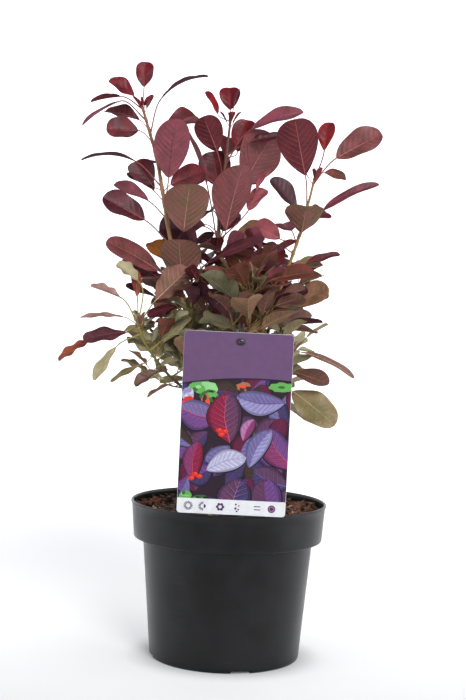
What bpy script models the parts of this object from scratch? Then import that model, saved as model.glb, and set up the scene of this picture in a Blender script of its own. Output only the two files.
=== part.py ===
"""A young purple smoke bush in a round nursery pot, with a hanging picture card on a stake.

Metres, Z up, the pot standing on z = 0 and centred on the vertical axis.
The viewer of the card stands on the -Y side.
"""

import math
import random

import bmesh
import bpy
from mathutils import Matrix, Vector
from mathutils.bvhtree import BVHTree

MM = 0.001
GAP = 0.3 * MM
UP = Vector((0.0, 0.0, 1.0))

# Pot
POT_HEIGHT = 151.5 * MM
RIM_RADIUS = 95.0 * MM
COLLAR_FOOT_RADIUS = 91.6 * MM
COLLAR_FOOT_HEIGHT = 116.0 * MM
WALL_TOP_RADIUS = 82.5 * MM
FOOT_RADIUS = 72.8 * MM
POT_WALL = 1.8 * MM
POT_SEGMENTS = 64
SLOT_WIDTH = 19.0 * MM
SLOT_HEIGHT = 3.0 * MM
SLOT_INNER_RADIUS = 63.0 * MM
SLOT_COUNT = 4
SLOT_TURN = 13.0

# Compost
SOIL_LEVEL = 139.5 * MM
SOIL_LUMP = 2.6 * MM
SOIL_SEGMENTS = 36
SEAT_RADIUS = 17.0 * MM
SOIL_RINGS = (28 * MM, 41 * MM, 54 * MM, 67 * MM, 79 * MM)
SOIL_SEED = 5

# Trunk
TRUNK_TOP = 196.0 * MM
TRUNK_FOOT_RADIUS = 8.2 * MM
TRUNK_TOP_RADIUS = 5.6 * MM
TRUNK_FLARE = 4.2 * MM
TRUNK_FLARE_HEIGHT = 9.0 * MM
TRUNK_ROOTS = 5
TRUNK_SIDES = 12
TRUNK_RINGS = 9
TRUNK_LEAN = Vector((-4.0, 2.0, 0.0)) * MM

# Picture card and its stake
CARD_WIDTH = 98.6 * MM
CARD_HEIGHT = 166.0 * MM
CARD_THICKNESS = 0.8 * MM
CARD_CORNER = 3.0 * MM
CARD_TOP = Vector((4.4, -105.0, 319.4)) * MM
CARD_LEAN = 2.1
CARD_TILT = 0.8
CARD_SLOT = (7.0 * MM, 3.4 * MM)
PEG_DROP = 8.6 * MM
PEG_SHIFT = 1.5 * MM
STAKE_WIDTH = 5.4 * MM
STAKE_DEPTH = 2.2 * MM
STAKE_TOP = Vector((5.9, -102.3, 321.0)) * MM
STAKE_FOOT = Vector((5.9, -72.5, 98.0)) * MM
PRONG_HEIGHT = 8.0 * MM
PRONG_WIDTH = 1.8 * MM
PEG_HEAD = (8.6 * MM, 1.6 * MM, 5.0 * MM)

# Limbs and leaves
STEM_SIDES = 6
STEM_STEP = 14.0 * MM
LEAF_THICKNESS = 1.2 * MM
PETIOLE_RADIUS = 0.75 * MM
LEAF_FOLD = 13.0
CLEARANCE = 1.0 * MM
BLADE_CUTS = (0.12, 0.38, 0.68, 0.94)
LEAF_SEED = 41

# Each shoot: where its bough leaves the trunk, the places that it grows through, the height at
# which its leaves begin, its radius at the foot and at the tip, and the rule for its filling leaves:
# how many, from what height to what height, round what bearing and how far to each side of it.
SHOOTS = {
    "left": dict(
        fork=168, through=((-15, 1, 202), (-36, -7, 290), (-63, -12, 396), (-79, -14, 475)),
        tip=(-96, -16, 531), leaves_from=290, radius=(3.3, 1.2), fill=(9, 305, 490, 92, 42)),
    "centre": dict(
        fork=196, through=((-7, 5, 235), (-14, 12, 300), (-19, 16, 410)),
        tip=(-11, 14, 523), leaves_from=300, radius=(3.4, 1.1), fill=(12, 308, 496, 88, 55)),
    "right": dict(
        fork=180, through=((9, -4, 215), (18, -7, 290), (53, -8, 391), (66, -10, 440)),
        tip=(72, -10, 468), leaves_from=290, radius=(3.0, 1.0), fill=(9, 298, 428, 88, 48)),
    "low_left": dict(
        fork=160, through=((-12, -14, 194), (-40, -24, 252), (-64, -30, 277), (-84, -35, 303)),
        tip=(-92, -36, 323), leaves_from=252, radius=(2.2, 0.8), fill=(5, 262, 312, 70, 60)),
    "low_right": dict(
        fork=157, through=((13, -11, 195), (31, -19, 243), (48, -24, 275)),
        tip=(56, -26, 303), leaves_from=243, radius=(2.1, 0.8), fill=(2, 262, 290, 60, 40)),
    "inner": dict(
        fork=175, through=((2, -13, 208), (6, -26, 268), (14, -40, 330)),
        tip=(16, -46, 374), leaves_from=268, radius=(2.2, 0.8), fill=(8, 300, 368, 270, 75)),
    "back_left": dict(
        fork=165, through=((-10, 13, 200), (-24, 38, 262), (-40, 62, 325)),
        tip=(-48, 80, 385), leaves_from=262, radius=(2.7, 0.9), fill=(14, 276, 380, 105, 75)),
    "back_right": dict(
        fork=172, through=((8, 12, 205), (20, 34, 262), (36, 60, 325)),
        tip=(42, 80, 378), leaves_from=262, radius=(2.7, 0.9), fill=(14, 276, 372, 78, 75)),
    "low_back": dict(
        fork=155, through=((-1, 16, 190), (-3, 46, 235), (-4, 82, 282)),
        tip=(-3, 104, 318), leaves_from=235, radius=(2.1, 0.8), fill=(9, 250, 312, 90, 85)),
}

# The leaves that shape the outline, by shoot: height of the node, bearing, rise of the petiole, rise
# of the blade, length of the petiole, length and width of the blade, how far the upper side turns to
# the viewer and how far the blade bends over. Lengths in millimetres, angles in degrees, bearing 0
# to the right and 90 away from the viewer.
LEADERS = {
    "left": (
        (529, 70, 82, 80, 19, 25, 20, 10, 6), (528, 192, 50, 28, 13, 28, 21, 50, 8),
        (526, 175, 28, -12, 25, 29, 15, 8, 10), (516, 188, 32, -36, 31, 42, 17, 10, 12),
        (507, 158, 42, 14, 14, 38, 22, 32, 10), (496, 198, 34, -3, 17, 31, 25, 62, 6),
        (503, 10, 74, 27, 36, 50, 15, 4, 26), (436, 292, 70, 72, 27, 57, 36, 0, 8),
        (450, 138, 20, 44, 15, 34, 26, 45, 8), (448, 24, 44, 24, 11, 38, 27, 55, 8),
        (453, 183, 42, -2, 36, 51, 13, 2, 26), (423, 173, 42, 24, 25, 37, 18, 40, 10),
        (397, 189, 42, 26, 36, 45, 27, 62, 6),
        (365, 285, 72, 66, 48, 48, 45, 0, 6), (363, 190, 26, 27, 23, 57, 32, 45, 6),
        (380, 132, 10, 36, 12, 32, 24, 25, 8), (346, 262, 44, 62, 17, 45, 34, 0, 12),
        (333, 193, 26, 18, 34, 31, 18, 25, 8), (325, 208, 46, -20, 20, 31, 15, 30, 10),
        (341, 342, 60, 22, 50, 58, 23, 35, 8), (486, 34, 62, 26, 26, 36, 24, 45, 14),
    ),
    "centre": (
        (397, 190, 78, 66, 64, 58, 20, 14, 8), (523, 189, 28, 58, 14, 25, 15, 40, 6),
        (525, 95, 66, 72, 13, 24, 23, 10, 6), (521, 346, 78, 72, 13, 20, 10, 30, 6),
        (464, 225, 70, 58, 28, 38, 28, -45, 10), (485, 50, 24, 66, 19, 36, 25, 25, 6),
        (479, 5, 55, 21, 43, 54, 22, 42, 12), (444, 20, 38, 60, 32, 48, 43, -68, 6),
        (396, 306, 56, 68, 22, 67, 46, 0, 8), (452, 110, 28, 58, 12, 43, 33, 20, 8),
        (404, 20, 46, 50, 44, 28, 22, 30, 6), (425, 8, 40, 56, 46, 26, 13, 20, 6),
        (412, 172, 30, -8, 16, 46, 34, 66, 6), (385, 20, 46, 30, 26, 36, 26, 40, 8),
        (372, 160, 30, 24, 20, 38, 27, 30, 8), (352, 350, 40, 28, 26, 40, 22, 30, 8),
    ),
    "right": (
        (438, 228, 82, 70, 31, 55, 41, -48, 6), (463, 40, 68, 76, 33, 29, 19, 20, 6),
        (461, 355, 50, 30, 33, 49, 30, 62, 6), (462, 25, 44, -10, 15, 25, 16, 50, 6),
        (424, 196, 60, 44, 15, 38, 23, 58, 8), (422, 3, 36, 27, 24, 60, 19, 28, 12),
        (410, 276, 10, 44, 17, 35, 38, 0, 6), (405, 130, 8, 20, 22, 37, 25, 48, 6),
        (368, 6, 37, 17, 28, 34, 14, 30, 10), (327, 346, 35, 26, 28, 42, 28, 58, 6),
        (325, 60, 26, 62, 21, 38, 27, 20, 6), (319, 350, 12, 8, 20, 39, 15, 20, 8),
        (321, 20, 20, 15, 19, 33, 18, 40, 6), (360, 176, 34, 24, 18, 42, 23, 45, 6),
    ),
    "low_left": (
        (321, 340, 55, 44, 29, 45, 28, -50, 6), (323, 130, 83, 78, 27, 27, 11, 20, 6),
        (323, 186, 28, -3, 16, 41, 13, 18, 10), (321, 205, -30, -10, 14, 43, 19, 38, 8),
        (318, 185, -16, -34, 47, 36, 18, 24, 8), (313, 206, -28, -56, 28, 38, 17, 30, 8),
        (292, 194, -42, -30, 10, 38, 12, 18, 8), (280, 205, -20, -34, 6, 27, 15, 30, 6),
        (267, 190, -12, -32, 6, 26, 9, 8, 8), (304, 45, 10, 42, 9, 37, 22, -30, 6),
        (317, 60, 20, 20, 10, 42, 22, -30, 8), (322, 180, 55, 18, 32, 30, 13, 25, 6),
    ),
    "low_right": (
        (300, 352, 0, -24, 9, 56, 14, 22, 16), (280, 332, 6, -14, 9, 38, 20, 40, 6),
        (267, 336, -17, -34, 15, 53, 33, 50, 6), (258, 28, -40, -32, 12, 32, 17, 35, 6),
        (302, 35, 10, -10, 7, 20, 9, 20, 12),
    ),
    "inner": (
        (330, 352, 40, 20, 22, 40, 28, 30, 8), (352, 12, 44, 12, 22, 44, 24, 40, 8),
        (372, 20, 50, 34, 18, 36, 14, 25, 8), (318, 190, 30, 40, 22, 34, 24, 40, 6),
        (345, 172, 40, 30, 20, 36, 22, 25, 8),
    ),
}

# Changes of bearing and rise that are tried in turn for a leaf that has no room as it stands.
TURNS = ((0, 0), (8, 0), (-8, 0), (0, 8), (0, -8), (16, 0), (-16, 0), (14, 10), (-14, 10),
         (24, -6), (-24, -6), (34, 4), (-34, 4), (46, 8), (-46, 8))


def clear_scene():
    for item in list(bpy.data.objects):
        bpy.data.objects.remove(item, do_unlink=True)
    for mesh in list(bpy.data.meshes):
        bpy.data.meshes.remove(mesh)


def plain_material(name, colour, roughness):
    material = bpy.data.materials.new(name)
    material.use_nodes = True
    shader = material.node_tree.nodes["Principled BSDF"]
    shader.inputs["Base Color"].default_value = (*colour, 1.0)
    shader.inputs["Roughness"].default_value = roughness
    return material


def make_object(name, points, faces, material=None, smooth=False):
    """Makes a mesh object whose faces all look outwards."""
    mesh = bpy.data.meshes.new(name)
    mesh.from_pydata([tuple(p) for p in points], [], faces)
    shape = bmesh.new()
    shape.from_mesh(mesh)
    bmesh.ops.recalc_face_normals(shape, faces=shape.faces)
    shape.to_mesh(mesh)
    shape.free()
    for polygon in mesh.polygons:
        polygon.use_smooth = smooth
    if material:
        mesh.materials.append(material)
    item = bpy.data.objects.new(name, mesh)
    bpy.context.scene.collection.objects.link(item)
    return item


def bake_modifiers(item):
    """Replaces the object's mesh by what its modifiers make of it."""
    graph = bpy.context.evaluated_depsgraph_get()
    result = bpy.data.meshes.new_from_object(item.evaluated_get(graph))
    item.modifiers.clear()
    item.data = result


def cut_away(item, cutter, solver="EXACT"):
    change = item.modifiers.new("cut", "BOOLEAN")
    change.operation = "DIFFERENCE"
    change.solver = solver
    change.object = cutter
    bake_modifiers(item)
    bpy.data.objects.remove(cutter, do_unlink=True)


def ring_of(radius, height, segments):
    return [Vector((radius * math.cos(math.tau * i / segments),
                    radius * math.sin(math.tau * i / segments), height)) for i in range(segments)]


def joined_rings(rings):
    """Faces between rings of equal count, with a flat face at each end."""
    count = len(rings[0])
    points = [p for ring in rings for p in ring]
    faces = [list(range(count))[::-1]]
    for row in range(len(rings) - 1):
        for i in range(count):
            low = row * count + i
            low_next = row * count + (i + 1) % count
            faces.append([low, low_next, low_next + count, low + count])
    last = (len(rings) - 1) * count
    faces.append(list(range(last, last + count)))
    return points, faces


def inner_radius(height):
    """Radius of the pot's inside at a height."""
    ledge = COLLAR_FOOT_HEIGHT + POT_WALL
    if height < ledge:
        share = height / COLLAR_FOOT_HEIGHT
        return FOOT_RADIUS + (WALL_TOP_RADIUS - FOOT_RADIUS) * share - POT_WALL
    share = (height - COLLAR_FOOT_HEIGHT) / (POT_HEIGHT - COLLAR_FOOT_HEIGHT)
    return COLLAR_FOOT_RADIUS + (RIM_RADIUS - COLLAR_FOOT_RADIUS) * share - POT_WALL


def make_pot(material):
    ledge = COLLAR_FOOT_HEIGHT
    profile = [
        (FOOT_RADIUS - 2.4 * MM, 0.0),
        (FOOT_RADIUS - 0.7 * MM, 0.7 * MM),
        (FOOT_RADIUS, 2.4 * MM),
        (WALL_TOP_RADIUS, ledge - 0.6 * MM),
        (WALL_TOP_RADIUS + 0.6 * MM, ledge),
        (COLLAR_FOOT_RADIUS - 0.8 * MM, ledge),
        (COLLAR_FOOT_RADIUS, ledge + 0.8 * MM),
        (RIM_RADIUS - 0.9 * MM, POT_HEIGHT - 3.2 * MM),
        (RIM_RADIUS, POT_HEIGHT - 2.2 * MM),
        (RIM_RADIUS, POT_HEIGHT - 0.7 * MM),
        (RIM_RADIUS - 0.7 * MM, POT_HEIGHT),
        (RIM_RADIUS - 2.0 * MM, POT_HEIGHT),
        (inner_radius(POT_HEIGHT - 3.0 * MM), POT_HEIGHT - 3.0 * MM),
        (inner_radius(ledge + POT_WALL), ledge + POT_WALL),
        (inner_radius(ledge), ledge + POT_WALL),
        (inner_radius(POT_WALL), POT_WALL),
    ]
    rings = [ring_of(radius, height, POT_SEGMENTS) for radius, height in profile]
    pot = make_object("pot", *joined_rings(rings), material)
    reach = RIM_RADIUS - SLOT_INNER_RADIUS
    boxes = []
    for i in range(SLOT_COUNT):
        turn = Matrix.Rotation(math.tau * i / SLOT_COUNT + math.radians(SLOT_TURN), 4, "Z")
        place = Matrix.Translation((SLOT_INNER_RADIUS + reach / 2, 0, SLOT_HEIGHT / 2 - 1 * MM))
        boxes.append((turn @ place, (reach, SLOT_WIDTH, SLOT_HEIGHT + 2 * MM)))
    for place, size in boxes:
        cut_away(pot, make_box("slot", place, size))
    round_pot(pot)
    return pot


def round_pot(pot):
    """Shades the turned faces smooth and keeps the hard edges hard."""
    mesh = pot.data
    for polygon in mesh.polygons:
        polygon.use_smooth = True
    mesh.set_sharp_from_angle(angle=math.radians(32))


def make_box(name, place, size, material=None):
    corners = []
    for x in (-0.5, 0.5):
        for y in (-0.5, 0.5):
            for z in (-0.5, 0.5):
                corners.append(place @ Vector((x * size[0], y * size[1], z * size[2])))
    faces = [(0, 1, 3, 2), (4, 6, 7, 5), (0, 4, 5, 1), (2, 3, 7, 6), (0, 2, 6, 4), (1, 5, 7, 3)]
    return make_object(name, corners, faces, material)


def soil_radius(height):
    return inner_radius(height) - GAP


def make_soil(material):
    dice = random.Random(SOIL_SEED)
    ledge = COLLAR_FOOT_HEIGHT + POT_WALL
    rings = [
        ring_of(soil_radius(POT_WALL) - GAP, POT_WALL + GAP, SOIL_SEGMENTS),
        ring_of(soil_radius(ledge - MM), ledge - MM, SOIL_SEGMENTS),
        ring_of(soil_radius(ledge - MM), ledge + GAP, SOIL_SEGMENTS),
        ring_of(soil_radius(ledge + GAP), ledge + GAP, SOIL_SEGMENTS),
    ]
    edge = ring_of(soil_radius(SOIL_LEVEL - SOIL_LUMP), SOIL_LEVEL, SOIL_SEGMENTS)
    for point in edge:
        point.z += dice.uniform(-1.2, 0.2) * SOIL_LUMP
    rings.append(edge)
    for radius in reversed(SOIL_RINGS):
        ring = ring_of(radius, SOIL_LEVEL, SOIL_SEGMENTS)
        for point in ring:
            point.x += dice.uniform(-1.2, 1.2) * MM
            point.y += dice.uniform(-1.2, 1.2) * MM
            point.z += dice.uniform(-1.0, 1.0) * SOIL_LUMP
        rings.append(ring)
    rings.append(ring_of(SEAT_RADIUS, SOIL_LEVEL, SOIL_SEGMENTS))
    return make_object("soil", *joined_rings(rings), material)


def smooth_path(places, spacing):
    """Evenly spaced points of a smooth curve through the places."""
    ends = [2 * places[0] - places[1]] + list(places) + [2 * places[-1] - places[-2]]
    fine = []
    for i in range(1, len(ends) - 2):
        before, start, stop, after = ends[i - 1], ends[i], ends[i + 1], ends[i + 2]
        pieces = 24
        for k in range(pieces):
            t = k / pieces
            point = 0.5 * (2 * start + (stop - before) * t
                           + (2 * before - 5 * start + 4 * stop - after) * t * t
                           + (3 * start - before - 3 * stop + after) * t ** 3)
            fine.append(point)
    fine.append(places[-1].copy())
    return spaced(fine, spacing)


def spaced(points, spacing):
    """The same line drawn again through evenly spaced points."""
    lengths = [0.0]
    for a, b in zip(points, points[1:]):
        lengths.append(lengths[-1] + (b - a).length)
    count = max(2, round(lengths[-1] / spacing))
    result = []
    step = 0
    for i in range(count + 1):
        want = lengths[-1] * i / count
        while step < len(points) - 2 and lengths[step + 1] < want:
            step += 1
        span = lengths[step + 1] - lengths[step]
        share = (want - lengths[step]) / span if span > 0 else 0.0
        result.append(points[step].lerp(points[step + 1], min(1.0, share)))
    return result


def cut_at_height(points, height):
    """Splits a rising line at a height and returns the lower and the upper part."""
    for i in range(len(points) - 1):
        low, high = points[i], points[i + 1]
        if low.z <= height < high.z:
            share = (height - low.z) / (high.z - low.z)
            meet = low.lerp(high, share)
            return points[:i + 1] + [meet], [meet] + points[i + 1:]
    raise ValueError("the line never reaches this height")


def tube_rings(points, radii, sides):
    """Rings set square to a line, turned so that they do not twist."""
    tangent = (points[1] - points[0]).normalized()
    side = tangent.cross(Vector((0.0, 1.0, 0.0))).normalized()
    rings = []
    for i, point in enumerate(points):
        ahead = points[min(i + 1, len(points) - 1)]
        behind = points[max(i - 1, 0)]
        tangent = (ahead - behind).normalized()
        side = (side - tangent * side.dot(tangent)).normalized()
        other = tangent.cross(side)
        ring = []
        for k in range(sides):
            turn = math.tau * k / sides
            ring.append(point + radii[i] * (math.cos(turn) * side + math.sin(turn) * other))
        rings.append(ring)
    return rings


def tree_of(points, faces):
    return BVHTree.FromPolygons([tuple(p) for p in points], faces)


def shoot_line(spec):
    """Centre line of a shoot from the trunk to its tip, at a fine spacing."""
    fork = Vector((0.0, 0.0, spec["fork"])) * MM + TRUNK_LEAN * trunk_share(spec["fork"] * MM)
    places = [fork] + [Vector(p) * MM for p in spec["through"]] + [Vector(spec["tip"]) * MM]
    return smooth_path(places, 2.0 * MM)


def trunk_share(height):
    return (height - SOIL_LEVEL) / (TRUNK_TOP - SOIL_LEVEL)


def limb_radii(points, whole, radius):
    """Tapering radii for part of a shoot whose whole line is given."""
    total = whole[-1].z - whole[0].z
    radii = []
    for point in points:
        share = (point.z - whole[0].z) / total
        radii.append((radius[0] + (radius[1] - radius[0]) * share ** 0.9) * MM)
    return radii


def make_trunk(material, name="trunk", grow=0.0):
    rings = []
    foot = SOIL_LEVEL + GAP - grow
    top = TRUNK_TOP + grow
    for row in range(TRUNK_RINGS):
        share = (row / (TRUNK_RINGS - 1)) ** 1.4
        height = foot + (top - foot) * share
        centre = Vector((0.0, 0.0, height)) + TRUNK_LEAN * share
        flare = TRUNK_FLARE * math.exp(-(height - foot) / TRUNK_FLARE_HEIGHT)
        ring = []
        for i in range(TRUNK_SIDES):
            turn = math.tau * i / TRUNK_SIDES
            lobe = 0.5 + 0.5 * math.cos(TRUNK_ROOTS * turn + 0.7)
            radius = TRUNK_FOOT_RADIUS + (TRUNK_TOP_RADIUS - TRUNK_FOOT_RADIUS) * share
            radius += flare * lobe + grow
            ring.append(centre + radius * Vector((math.cos(turn), math.sin(turn), 0.0)))
        rings.append(ring)
    return make_object(name, *joined_rings(rings), material, smooth=False)


def make_bough(name, line, spec, material):
    """The bare part of a shoot, from the trunk's surface to where its leaves begin."""
    lower, _ = cut_at_height(line, spec["leaves_from"] * MM)
    coaxial = spec["fork"] * MM >= TRUNK_TOP - MM
    if coaxial:
        lower = [p for p in lower if p.z > TRUNK_TOP + GAP]
        lower[0] = lower[0].copy()
    points = spaced(lower, STEM_STEP * 0.6)
    radii = limb_radii(points, line, spec["radius"])
    rings = tube_rings(points, radii, STEM_SIDES)
    if coaxial:
        rings[0] = [Vector((p.x, p.y, TRUNK_TOP + GAP)) for p in rings[0]]
    bough = make_object("bough_" + name, *joined_rings(rings), material)
    if not coaxial:
        cut_away(bough, make_trunk(None, "room", GAP))
    return bough


def stem_points(line, spec):
    """Centres of the leafy part of a shoot, beginning just clear of its bough."""
    _, upper = cut_at_height(line, spec["leaves_from"] * MM)
    upper = spaced(upper, STEM_STEP)
    upper[0] = upper[0] + GAP * (upper[1] - upper[0]).normalized()
    return upper


def stem_rings(line, spec):
    points = stem_points(line, spec)
    return tube_rings(points, limb_radii(points, line, spec["radius"]), STEM_SIDES)


def place_at_height(stem, height):
    """The centre of a stem at a height, at the most just below its tip."""
    height = min(height, stem[-1].z - 2.5 * MM)
    for low, high in zip(stem, stem[1:]):
        if low.z <= height < high.z:
            return low.lerp(high, (height - low.z) / (high.z - low.z))
    return stem[-1].copy()


def direction(bearing, rise):
    level = math.cos(math.radians(rise))
    return Vector((level * math.cos(math.radians(bearing)),
                   level * math.sin(math.radians(bearing)), math.sin(math.radians(rise))))


def half_width(share):
    """Outline of a blade: narrow at the petiole, widest past the middle, rounded at the tip."""
    return max(0.0, math.sin(math.pi * share ** 1.15)) ** 0.62


def leaf_sections(leaf, cuts, petiole_cuts=(0.0, 0.5, 1.0)):
    """Stations along a leaf: centre, side, upper side and share of the blade, None on the petiole."""
    out = direction(leaf["bearing"], leaf["blade_rise"])
    level = direction(leaf["bearing"], 0.0)
    side = level.cross(UP)
    upper = side.cross(out)
    turn = math.radians(leaf["show"]) * (1 if level.x >= 0 else -1)
    upper, side = (upper * math.cos(turn) + side * math.sin(turn),
                   side * math.cos(turn) - upper * math.sin(turn))
    bend = math.radians(leaf["curl"])
    start = leaf["node"]
    base = start + leaf["petiole"] * direction(leaf["bearing"], leaf["petiole_rise"])
    first = (out * math.cos(bend) + upper * math.sin(bend)).normalized()
    pull = leaf["petiole"] / 3
    near = start + pull * direction(leaf["bearing"], leaf["petiole_rise"])
    far = base - pull * first
    sections = []
    for t in petiole_cuts:
        point = ((1 - t) ** 3 * start + 3 * (1 - t) ** 2 * t * near
                 + 3 * (1 - t) * t * t * far + t ** 3 * base)
        sections.append((point, side, first.cross(side) * -1, None))
    steps = 40
    point = base.copy()
    done = 0
    scale = leaf["blade"] / sum(math.cos(bend * (1 - 2 * (k + 0.5) / steps)) for k in range(steps))
    for cut in cuts:
        while done < round(cut * steps):
            angle = bend * (1 - 2 * (done + 0.5) / steps)
            point = point + scale * (out * math.cos(angle) + upper * math.sin(angle))
            done += 1
        angle = bend * (1 - 2 * cut)
        normal = upper * math.cos(angle) - out * math.sin(angle)
        sections.append((point.copy(), side, normal, cut))
    return sections


def leaf_solid(leaf, grow=0.0, skip=0):
    """Points and faces of one closed leaf, its petiole's root at the stem's centre line."""
    fold = math.radians(LEAF_FOLD)
    rings = []
    for point, side, upper, share in leaf_sections(leaf, BLADE_CUTS)[skip:]:
        if share is None:
            reach = PETIOLE_RADIUS + grow
            rings.append([point + reach * side, point + reach * upper,
                          point - reach * side, point - reach * upper])
            continue
        wide = leaf["width"] / 2 * half_width(share) + grow
        lift = wide * math.sin(fold)
        thick = LEAF_THICKNESS * (1.0 - 0.45 * share) / 2 + grow
        rings.append([point + wide * math.cos(fold) * side + lift * upper, point + thick * upper,
                      point - wide * math.cos(fold) * side + lift * upper, point - thick * upper])
    points, faces = joined_rings(rings)
    return points, faces


def leader_leaves(name, stem):
    leaves = []
    for row in LEADERS.get(name, ()):
        height, bearing, petiole_rise, blade_rise, petiole, blade, width, show, curl = row
        leaves.append(dict(
            shoot=name, node=place_at_height(stem, height * MM), bearing=bearing,
            petiole_rise=petiole_rise, blade_rise=blade_rise, petiole=petiole * MM,
            blade=blade * MM, width=width * MM, show=show, curl=curl, leader=True))
    return leaves


def filling_leaves(name, stem, spec, dice):
    count, low, high, middle, reach = spec["fill"]
    leaves = []
    for i in range(count):
        share = (i + 0.5) / count
        height = low + (high - low) * share + dice.uniform(-3, 3)
        sweep = (i * 0.618034 + 0.27) % 1.0
        bearing = middle + reach * (2 * sweep - 1) + dice.uniform(-8, 8)
        petiole_rise = dice.uniform(22, 46)
        blade = (52 - 14 * share) * dice.uniform(0.82, 1.1)
        leaves.append(dict(
            shoot=name, node=place_at_height(stem, height * MM), bearing=bearing,
            petiole_rise=petiole_rise, blade_rise=petiole_rise - dice.uniform(4, 34),
            petiole=dice.uniform(17, 30) * MM, blade=blade * MM,
            width=blade * dice.uniform(0.56, 0.7) * MM, show=dice.uniform(-38, 38),
            curl=dice.uniform(4, 14), leader=False))
    return leaves


def touches(tree, others):
    return any(tree.overlap(other) for other in others)


def settle(leaf, limbs, placed):
    """Turns a leaf a little until it touches nothing; False where it finds no room."""
    bearing, rise, petiole_rise = leaf["bearing"], leaf["blade_rise"], leaf["petiole_rise"]
    for turn, lift in TURNS:
        leaf["bearing"] = bearing + turn
        leaf["blade_rise"] = rise + lift
        leaf["petiole_rise"] = petiole_rise + lift
        whole = tree_of(*leaf_solid(leaf, CLEARANCE))
        blade = tree_of(*leaf_solid(leaf, CLEARANCE, 1))
        own = [tree for name, tree in limbs if name == leaf["shoot"]]
        foreign = [tree for name, tree in limbs if name != leaf["shoot"]]
        if touches(blade, own) or touches(whole, foreign):
            continue
        own = [p["blade_tree"] for p in placed if p["shoot"] == leaf["shoot"]]
        foreign = [p["whole_tree"] for p in placed if p["shoot"] != leaf["shoot"]]
        if touches(blade, own) or touches(whole, foreign):
            continue
        leaf["whole_tree"] = tree_of(*leaf_solid(leaf))
        leaf["blade_tree"] = tree_of(*leaf_solid(leaf, 0.0, 1))
        return True
    return False


def object_tree(item):
    faces = [tuple(p.vertices) for p in item.data.polygons]
    return tree_of([v.co for v in item.data.vertices], faces)


def plan_leaves(lines, obstacles):
    """Settles the leaders of every shoot first and the filling leaves after them."""
    limbs = [("", object_tree(item)) for item in obstacles]
    for name, spec in SHOOTS.items():
        limbs.append((name, tree_of(*joined_rings(stem_rings(lines[name], spec)))))
    dice = random.Random(LEAF_SEED)
    wanted = []
    for name, spec in SHOOTS.items():
        wanted += leader_leaves(name, stem_points(lines[name], spec))
    for name, spec in SHOOTS.items():
        wanted += filling_leaves(name, stem_points(lines[name], spec), spec, dice)
    placed = []
    for leaf in wanted:
        if settle(leaf, limbs, placed):
            placed.append(leaf)
    return placed


def make_foliage(name, line, spec, leaves, material):
    """One leafy shoot: its stem with all of its leaves fused on."""
    mass = make_object("foliage_" + name, *joined_rings(stem_rings(line, spec)), material)
    group = bpy.data.collections.new("leaves_" + name)
    bpy.context.scene.collection.children.link(group)
    for i, leaf in enumerate(leaves):
        blade = make_object(f"leaf_{i}", *leaf_solid(leaf))
        bpy.context.scene.collection.objects.unlink(blade)
        group.objects.link(blade)
    fuse = mass.modifiers.new("fuse", "BOOLEAN")
    fuse.operation = "UNION"
    fuse.operand_type = "COLLECTION"
    fuse.collection = group
    fuse.solver = "MANIFOLD"
    bake_modifiers(mass)
    for blade in list(group.objects):
        bpy.data.objects.remove(blade, do_unlink=True)
    bpy.data.collections.remove(group)
    return mass


def card_frame():
    """Places the card's own x across, y through and z up its face, at the middle of its top edge."""
    tilt = Matrix.Rotation(math.radians(CARD_TILT), 4, "Y")
    lean = Matrix.Rotation(math.radians(CARD_LEAN), 4, "X")
    return Matrix.Translation(CARD_TOP) @ tilt @ lean


def make_card(material):
    outline = []
    for corner_x, corner_z, start in ((1, 0, 0), (-1, 0, 90), (-1, -1, 180), (1, -1, 270)):
        centre_x = corner_x * (CARD_WIDTH / 2 - CARD_CORNER)
        centre_z = -CARD_CORNER if corner_z == 0 else -CARD_HEIGHT + CARD_CORNER
        for k in range(4):
            turn = math.radians(start + 30 * k)
            outline.append((centre_x + CARD_CORNER * math.cos(turn),
                            centre_z + CARD_CORNER * math.sin(turn)))
    frame = card_frame()
    rings = [[frame @ Vector((x, y, z)) for x, z in outline] for y in (0.0, CARD_THICKNESS)]
    card = make_object("label_card", *joined_rings(rings), material)
    place = frame @ Matrix.Translation((PEG_SHIFT, 0, -PEG_DROP))
    cut_away(card, make_box("slot", place, (CARD_SLOT[0], 8 * MM, CARD_SLOT[1])))
    return card


def make_stake(material):
    """A flat stake with two prongs at its top and a peg that holds the card."""
    lean = math.atan2(STAKE_TOP.y - STAKE_FOOT.y, STAKE_TOP.z - STAKE_FOOT.z)
    turn = Matrix.Rotation(-lean, 4, "X")
    length = (STAKE_TOP - STAKE_FOOT).length
    middle = (STAKE_TOP + STAKE_FOOT) / 2
    stake = make_box("label_stake", Matrix.Translation(middle) @ turn,
                     (STAKE_WIDTH, STAKE_DEPTH, length), material)
    pieces = []
    for side in (-1, 1):
        across = side * (STAKE_WIDTH - PRONG_WIDTH) / 2
        place = Matrix.Translation(STAKE_TOP) @ turn @ Matrix.Translation((across, 0, 2.5 * MM))
        pieces.append(make_box("prong", place, (PRONG_WIDTH, STAKE_DEPTH * 0.8, PRONG_HEIGHT)))
    frame = card_frame() @ Matrix.Translation((PEG_SHIFT, 0, -PEG_DROP))
    through = Matrix.Translation((0, 1.6 * MM, 0))
    pieces.append(make_box("peg", frame @ through,
                           (CARD_SLOT[0] - 2 * GAP, 6.6 * MM, CARD_SLOT[1] - 2 * GAP)))
    head = Matrix.Translation((0, -GAP - PEG_HEAD[1] / 2, 0))
    pieces.append(make_box("head", frame @ head, PEG_HEAD))
    for piece in pieces:
        join = stake.modifiers.new("join", "BOOLEAN")
        join.operation = "UNION"
        join.solver = "EXACT"
        join.object = piece
        bake_modifiers(stake)
        bpy.data.objects.remove(piece, do_unlink=True)
    return stake


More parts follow.
